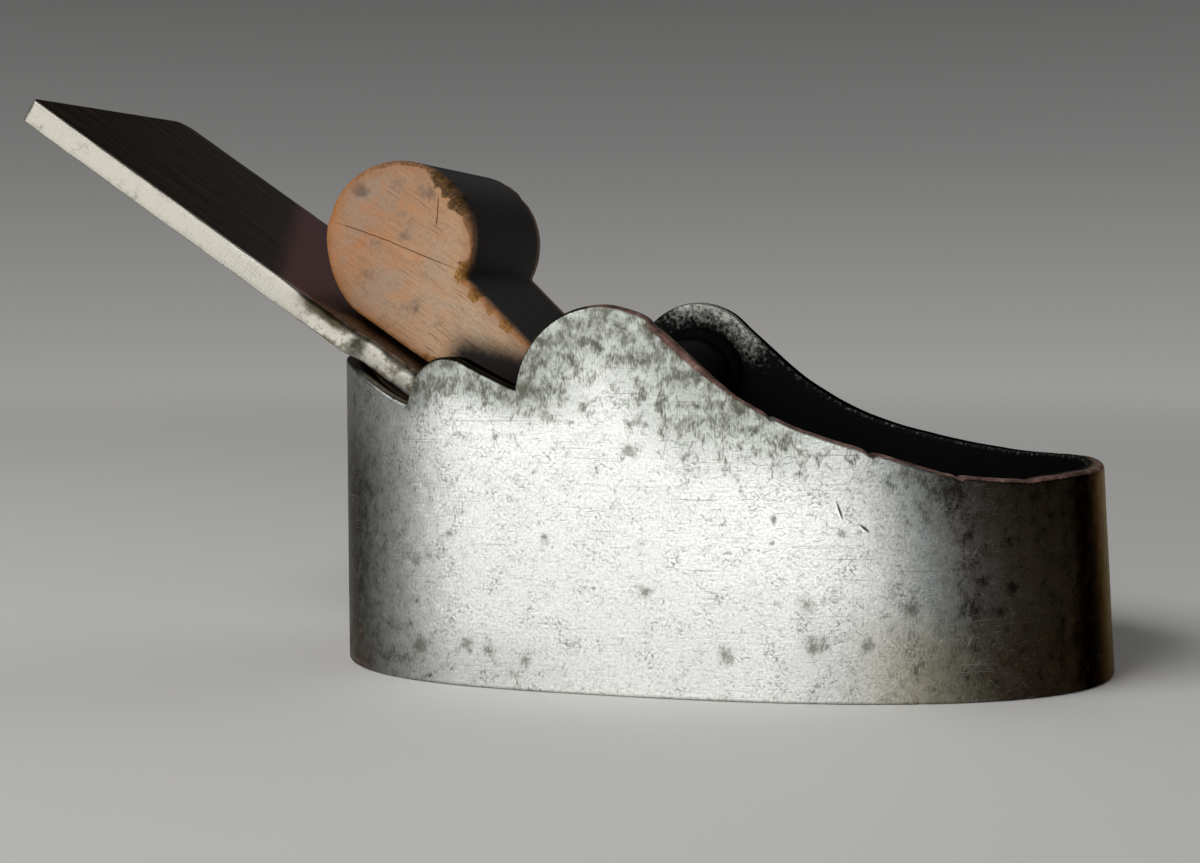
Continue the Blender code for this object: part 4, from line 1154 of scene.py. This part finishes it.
wedge = add_piece("wooden_wedge", wedge_world, wedge_faces, wedge_wood)
to_edge = np.array([np.hypot(*(outline - place).T).min() for place in wedge_bed[:, [0, 2]]]) / MM
world_x, _, world_z = wedge_world.T / MM
painted_shadow_and_shade = smooth_step(0.0, SHADOW_FADE, SHADOW_LINE - world_z - SHADOW_SLOPE * (world_x - SHADOW_START))
painted_shadow_and_shade *= smooth_step(SHADOW_START - 3.0, SHADOW_START + 1.5, world_x)
facing_toe = inward[:, 0] * COS_BED - inward[:, 1] * SIN_BED
from_faces = (WEDGE_WIDTH / 2 - np.abs(rings[..., 1])) / MM
# Painted shade on the front of the wedge, the side that bears on the bar
painted_front_shade = 0.82 * smooth_step(-0.3, 0.35, facing_toe) * smooth_step(0.1, 1.6, from_faces)
painted_shadow_and_shade[:painted_front_shade.size] = np.maximum(painted_shadow_and_shade[:painted_front_shade.size], painted_front_shade.ravel())
stained = np.zeros(len(wedge_bed))
for along, over, radius, strength in STAINS:
    apart = np.hypot((wedge_bed[:, 0] / MM - along) / 1.5, wedge_bed[:, 2] / MM - over) / radius
    stained = np.maximum(stained, strength * smooth_step(1.3, 0.2, apart))
beyond = (0, len(wedge_bed) - arris.size)
set_field(wedge, "bed", wedge_bed / MM)
for name, values in (("worn", np.pad(arris.ravel(), beyond)), ("broken", np.pad(broken.ravel(), beyond)),
                     ("crack", crack), ("border", smooth_step(BORDER, 0.2, to_edge)), ("painted_shadow_and_shade", painted_shadow_and_shade),
                     ("stained", stained)):
    set_field(wedge, name, values)
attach(wedge, "wedge")
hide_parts("wedge")
print("wedge:", len(wedge_faces), "faces")

# %% [markdown]
# The bar, the sole and the ends of the strip are brazed, so filler has run into every corner: a bead round
# the sole, a collar round each end of the bar and a line down the heel. A bead is a round section carried
# along a path, so one Geometry Nodes tree makes the beads round the sole and the collars. It thickens any
# chain of edges, and noise makes the surface lumpy, as metal that froze while it ran.

# %% Tree for beads of filler
BEAD_STEP = 0.45 * MM
BEAD_SIDES = 14
# Level of the noise at which a bead keeps its radius
LUMP_LEVEL = 0.65


def start_tree(name, *sizes):
    """A new tree with inputs for these sizes and a finish, what they give, and their identifiers."""
    tree = bpy.data.node_groups.new(name, "GeometryNodeTree")
    tree.interface.new_socket("Geometry", in_out="OUTPUT", socket_type="NodeSocketGeometry")
    known = {}
    floats = [(size, "Float") for size in sizes]
    for label, kind in (("Geometry", "Geometry"), *floats, ("Finish", "Material")):
        socket = tree.interface.new_socket(label, in_out="INPUT", socket_type="NodeSocket" + kind)
        known[label] = socket.identifier
    return tree, add(tree, "NodeGroupInput").node.outputs, known


def end_tree(tree, geometry, finish):
    """Makes what a tree has grown real, dresses it and gives it out."""
    real = add(tree, "GeometryNodeRealizeInstances", (geometry,))
    dressed = add(tree, "GeometryNodeSetMaterial", {"Geometry": real, "Material": finish})
    add(tree, "NodeGroupOutput", (dressed,))


def grow(name, tree, known, points, edges, values):
    """Runs a tree over points and edges with these input values, and returns the result as a plain piece."""
    carrier_mesh = bpy.data.meshes.new(name + "_path")
    carrier_mesh.from_pydata(np.asarray(points).tolist(), edges, [])
    carrier = bpy.data.objects.new(name + "_path", carrier_mesh)
    scene.collection.objects.link(carrier)
    nodes = carrier.modifiers.new("grow", "NODES")
    nodes.node_group = tree
    for label, value in values.items():
        nodes[known[label]] = value
    made = bpy.data.meshes.new_from_object(carrier.evaluated_get(bpy.context.evaluated_depsgraph_get()))
    carrier.modifiers.remove(nodes)
    bpy.data.objects.remove(carrier)
    made.name = name
    item = bpy.data.objects.new(name, made)
    scene.collection.objects.link(item)
    print(name + ":", len(made.polygons), "faces")
    return item


bead_tree, given, bead_inputs = start_tree("bead of filler", "Radius", "Lump Height", "Lump Length", "Seed")
course = add(bead_tree, "GeometryNodeMeshToCurve", {"Mesh": given["Geometry"]})
stepped = add(bead_tree, "GeometryNodeResampleCurve", {"Curve": course, "Length": BEAD_STEP}, mode="LENGTH")
section = add(bead_tree, "GeometryNodeCurvePrimitiveCircle", {"Resolution": BEAD_SIDES,
                                                              "Radius": given["Radius"]})
tube = add(bead_tree, "GeometryNodeCurveToMesh", {"Curve": stepped, "Profile Curve": section,
                                                  "Fill Caps": True})
finer = add(bead_tree, "Math", (1.0, given["Lump Length"]), operation="DIVIDE")
lumps = add(bead_tree, "TexNoise", {"W": given["Seed"], "Scale": finer, "Detail": 2.0}, noise_dimensions="4D")
swing = add(bead_tree, "Math", (lumps, LUMP_LEVEL), operation="SUBTRACT")
lift = add(bead_tree, "Math", (swing, given["Lump Height"]), operation="MULTIPLY")
facing = add(bead_tree, "GeometryNodeInputNormal", take="Normal")
shift = add(bead_tree, "VectorMath", {0: facing, "Scale": lift}, operation="SCALE")
lumpy = add(bead_tree, "GeometryNodeSetPosition", {"Geometry": tube, "Offset": shift})
end_tree(bead_tree, add(bead_tree, "GeometryNodeSetShadeSmooth", {"Geometry": lumpy}), given["Finish"])

# %% [markdown]
# The filler is copper-rich braze, long since tarnished. Inside the body it is black, partly with soot and oil
# and partly as painted shade, and shows brown metal only on its high spots, so noise about a millimetre
# across mixes the two.

# %% Finish of the filler
SOOT_PATCH = 1.0 * MM

braze_metal, tree, shader = start_finish("tarnished copper braze")
soot = add(tree, "TexNoise", (add(tree, "TexCoord", take="Object"), 1 / SOOT_PATCH, 5.0, 0.65))
rubbed = add(tree, "MapRange", (soot, 0.58, 0.80), **SOFT)
join(tree, shader, {
    # The near black is partly soot and partly painted shade
    "Base Color": add(tree, "Mix", (rubbed, "#040303", "#2c1b13"), **COLOUR), "Metallic": rubbed,
    "Roughness": add(tree, "MapRange", (rubbed, 0.0, 1.0, 0.72, 0.46)), "Specular IOR Level": 0.05,
    "Normal": add(tree, "Bump", {"Height": soot, "Strength": 0.4, "Distance": 0.1 * MM})})
print(braze_metal.name + ":", len(tree.nodes), "nodes")

# %% Beads round the sole and the bar
SOLE_TOP = 3.0 * MM
GAP = 0.3 * MM
BEAD_RADIUS = 1.15 * MM
LINE_RADIUS = 0.26 * MM
PLAN_STEPS = 220
COLLAR_STEPS = 72


def closed_edges(count):
    return [(index, (index + 1) % count) for index in range(count)]


def plan_loop(inset, z):
    """Points round the plan, set in from the outer face, at one height."""
    turn = np.linspace(0.0, 2 * math.pi, PLAN_STEPS, endpoint=False)
    side = np.where(turn <= math.pi, -1.0, 1.0)
    return wall_points(np.abs(math.pi - turn), inset, side, np.full(PLAN_STEPS, z))


collar_turn = np.linspace(0.0, 2 * math.pi, COLLAR_STEPS, endpoint=False)
bar_reach = float(plan_points(plan_angle(HUMP_X), WALL)[1])


def collar_loop(side):
    """Points round one end of the bar."""
    return spread(HUMP_X + (BAR_RADIUS + GAP) * np.cos(collar_turn), side * (bar_reach - GAP),
                  HUMP_Z + (BAR_RADIUS + GAP) * np.sin(collar_turn))


bead_values = {"Radius": BEAD_RADIUS, "Lump Height": 0.35 * MM, "Lump Length": 1.8 * MM, "Seed": 4.0,
               "Finish": braze_metal}
thin_line = {"Radius": LINE_RADIUS, "Lump Height": 0.04 * MM}
for name, loop, changes, node in (
        ("sole_braze_bead", plan_loop(WALL + GAP, SOLE_TOP + GAP), {}, "sole_braze"),
        ("sole_braze_line", plan_loop(WALL + GAP / 2, LINE_RADIUS), thin_line, None),
        ("near_bar_collar", collar_loop(-1.0), {"Seed": -9.0}, "near_bar_braze"),
        ("far_bar_collar", collar_loop(1.0), {"Seed": 9.0}, "far_bar_braze")):
    bead = grow(name, bead_tree, bead_inputs, loop, closed_edges(len(loop)), {**bead_values, **changes})
    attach(bead, "plane_body")
    if node:
        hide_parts(node)

# %% [markdown]
# The seam at the heel is a slot between the ends of the strip, filled flush and dressed with a file. Its
# filler is a narrow block with a faint crown, whose top follows the lip.

# %% Filler in the heel seam
SEAM_ROWS = 60
SEAM_CROWN = 0.03 * MM
SEAM_SIDE_POINTS = 6
SEAM_FOOT = 0.02 * MM
SEAM_BELOW_LIP = 0.12 * MM

seam_share = np.linspace(0.0, 1.0, SEAM_ROWS)[:, None]
crown = np.linspace(-1.0, 1.0, SEAM_SIDE_POINTS)
seam_x = np.concatenate((HEEL_X + SEAM_CROWN * crown ** 2, HEEL_X + WALL - SEAM_CROWN * crown ** 2))
seam_y = np.concatenate((-crown, crown)) * SEAM_WIDTH / 2
seam_top = lip_height(seam_x) - SEAM_BELOW_LIP
seam_points = spread(seam_x, seam_y, SEAM_FOOT + seam_share * (seam_top - SEAM_FOOT))
ripple = 0.04 * MM * waver(seam_points, 1.4 * MM, 101)
seam_points[..., 0] += np.abs(ripple) * np.repeat((0.5, -1.0), SEAM_SIDE_POINTS)
seam = lofted("seam_filler", seam_points, braze_metal)
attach(seam, "plane_body")
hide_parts("seam_braze")

# %% [markdown]
# The bar that the wedge bears on is a length of round steel, dented by wedges and near black, partly soot
# and partly painted shade: a loft of circles whose radius wanders by a few hundredths of a millimetre, with
# a flat rubbed by the wedge.

# %% Bar across the body
BAR_RINGS = 110
BAR_SIDES = 56
BAR_WANDER = 0.03 * MM
RUB_DEPTH = 0.12 * MM
BAR_PATCH = 1.2 * MM

bar_y = np.linspace(-bar_reach, bar_reach, BAR_RINGS)[:, None]
bar_turn = np.linspace(0.0, 2 * math.pi, BAR_SIDES, endpoint=False)
bar_line = spread(BAR_RADIUS * np.cos(bar_turn), bar_y, BAR_RADIUS * np.sin(bar_turn))
facing_wedge = -np.sin(bar_turn + BED_ANGLE + WEDGE_TAPER)
rubbed_flat = RUB_DEPTH * smooth_step(0.94, 1.0, facing_wedge) * (np.abs(bar_y) < WEDGE_WIDTH / 2)
bar_radius = BAR_RADIUS - BAR_WANDER + BAR_WANDER * waver(bar_line, 3.0 * MM, 111) - rubbed_flat
bar_points = spread(HUMP_X + bar_radius * np.cos(bar_turn), bar_y, HUMP_Z + bar_radius * np.sin(bar_turn))

# Soot and painted shade hide all but a few glints of the steel
bar_steel, tree, shader = start_finish("round bar steel with soot and painted shade")
scale = add(tree, "TexNoise", (add(tree, "TexCoord", take="Object"), 1 / BAR_PATCH, 5.0, 0.65))
glints = add(tree, "MapRange", (scale, 0.60, 0.78))
join(tree, shader, {
    "Base Color": add(tree, "Mix", (glints, "#010101", "#060505"), **COLOUR), "Metallic": glints,
    "Roughness": add(tree, "MapRange", (scale, 0.0, 1.0, 0.55, 0.80)), "Specular IOR Level": 0.03,
    "Normal": add(tree, "Bump", {"Height": scale, "Strength": 0.4, "Distance": 0.1 * MM})})
bar = lofted("round_bar", bar_points, bar_steel, turned=True)
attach(bar, "plane_body")
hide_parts("cross_bar")

# %% [markdown]
# Two slotted screws hold the bed block from below. Screws repeat, so a second tree builds one from cones,
# cuts its slot and puts a copy on every point it is given. Their steel is grey, and brown where it is dull.

# %% Screws under the bed
SCREW_XS = (HEEL_X + 12.0 * MM, HEEL_X + 26.0 * MM)
SCREW_SINK = 0.1 * MM
SCREW_PATCH = 0.7 * MM
SCREW_SIZES = {"Head Radius": 2.9 * MM, "Shank Radius": 1.5 * MM, "Head Height": 1.4 * MM,
               "Shank Length": 7.6 * MM, "Point Length": 3.0 * MM, "Slot Width": 0.7 * MM,
               "Slot Depth": 0.5 * MM}

screw_steel, tree, shader = start_finish("worn screw steel")
wear = add(tree, "TexNoise", (add(tree, "TexCoord", take="Object"), 1 / SCREW_PATCH, 4.0, 0.6))
join(tree, shader, {
    "Base Color": add(tree, "Mix", (wear, "#35302b", "#8d8880"), **COLOUR), "Metallic": 1.0,
    "Roughness": add(tree, "MapRange", (wear, 0.0, 1.0, 0.62, 0.36))})

screw_tree, given, screw_inputs = start_tree("slotted wood screw", *SCREW_SIZES)
# The block that cuts the slot is longer than the head is wide, and the point is a quarter of the shank
reach, deep, fine = [add(screw_tree, "Math", (given[size], factor), operation="MULTIPLY")
                     for size, factor in (("Head Radius", 3.0), ("Slot Depth", 2.0), ("Shank Radius", 0.25))]
slot_size = add(screw_tree, "CombineXYZ", (given["Slot Width"], reach, deep))
slot_block = add(screw_tree, "GeometryNodeMeshCube", {"Size": slot_size})
point_rise = add(screw_tree, "Math", (given["Head Height"], given["Shank Length"]), operation="ADD")
whole = add(screw_tree, "GeometryNodeJoinGeometry")
# Each cone: its sides, upper and lower radius, length and rise
for sides, upper, lower, length, rise in (
        (64, given["Shank Radius"], given["Head Radius"], given["Head Height"], None),
        (32, given["Shank Radius"], given["Shank Radius"], given["Shank Length"], given["Head Height"]),
        (32, fine, given["Shank Radius"], given["Point Length"], point_rise)):
    cone = add(screw_tree, "GeometryNodeMeshCone", {"Vertices": sides, "Radius Top": upper,
                                                    "Radius Bottom": lower, "Depth": length})
    if rise is None:
        part = add(screw_tree, "GeometryNodeMeshBoolean", {"Mesh 1": cone, "Mesh 2": slot_block},
                   operation="DIFFERENCE")
    else:
        raised = add(screw_tree, "CombineXYZ", {"Z": rise})
        part = add(screw_tree, "GeometryNodeTransform", {"Geometry": cone, "Translation": raised})
    screw_tree.links.new(part, whole.node.inputs["Geometry"])
copies = add(screw_tree, "GeometryNodeInstanceOnPoints", {"Points": given["Geometry"], "Instance": whole})
end_tree(screw_tree, copies, given["Finish"])
screws = grow("bed_screws", screw_tree, screw_inputs, [(x, 0.0, SCREW_SINK) for x in SCREW_XS], [],
              {**SCREW_SIZES, "Finish": screw_steel})
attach(screws, "plane_body")
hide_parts("bed_screw_1", "bed_screw_2")

# %% [markdown]
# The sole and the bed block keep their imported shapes, which are right as they are, and get a finish each.
# The sole is steel, bright and scored lengthwise underneath where it rubs on the work, and black on top.
# The block is dark wood soaked with oil, with its grain running along the plane.

# %% Finishes of the sole and the bed block
SCORE_LENGTH = 14.0 * MM
SCORE_WIDTH = 0.16 * MM
SOLE_PATCH = 5.0 * MM
GRAIN_LENGTH = 12.0 * MM
GRAIN_WIDTH = 0.9 * MM
# The sole turns from bright to black between these heights
SOLE_BLACKENS = (0.5 * MM, 2.5 * MM)

sole_steel, tree, shader = start_finish("worn sole steel")
place = add(tree, "TexCoord", take="Object")
scores = drawn_out(tree, place, (SCORE_LENGTH, SCORE_WIDTH, SCORE_WIDTH), 3.0)
stains = add(tree, "TexNoise", (place, 1 / SOLE_PATCH, 5.0, 0.65))
inside = add(tree, "MapRange", (add(tree, "SeparateXYZ", (place,), take="Z"), *SOLE_BLACKENS))
tone = add(tree, "Mix", (add(tree, "MapRange", (scores, 0.56, 0.70)), "#c3c3bf", "#80807b"), **COLOUR)
for mask, code in ((add(tree, "MapRange", (stains, 0.50, 0.70), **SOFT), "#6c675e"), (inside, "#120f0d")):
    tone = add(tree, "Mix", (mask, tone, code), **COLOUR)
join(tree, shader, {
    "Base Color": tone, "Metallic": add(tree, "MapRange", (inside, 0.0, 1.0, 1.0, 0.0)),
    "Roughness": add(tree, "MapRange", (stains, 0.0, 1.0, 0.30, 0.52)), "Specular IOR Level": 0.2,
    "Normal": add(tree, "Bump", {"Height": scores, "Strength": 0.3, "Distance": 0.05 * MM})})

bed_wood, tree, shader = start_finish("oil-soaked dark wood")
place = add(tree, "TexCoord", take="Object")
streaks = drawn_out(tree, place, (GRAIN_LENGTH, GRAIN_WIDTH, GRAIN_WIDTH), 5.0)
join(tree, shader, {
    "Base Color": add(tree, "Mix", (streaks, "#120b07", "#4a3020"), **COLOUR),
    "Roughness": add(tree, "MapRange", (streaks, 0.0, 1.0, 0.50, 0.75)),
    "Normal": add(tree, "Bump", {"Height": streaks, "Strength": 0.4, "Distance": 0.1 * MM})})

for node, finish in (("sole_plate", sole_steel), ("bed_block", bed_wood)):
    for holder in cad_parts[node].material_slots:
        holder.material = finish
    print(node, "wears", finish.name)

# %% [markdown]
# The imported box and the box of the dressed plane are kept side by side, so that any piece that has grown
# past the true size shows at once.

# %% Sizes, and the end of the script
low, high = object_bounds()
{"cad": [list(cad_low), list(cad_high)], "visual": [list(low), list(high)]}
print("dressed plane, mm:", [round((b - a) / MM, 1) for a, b in zip(low, high)])
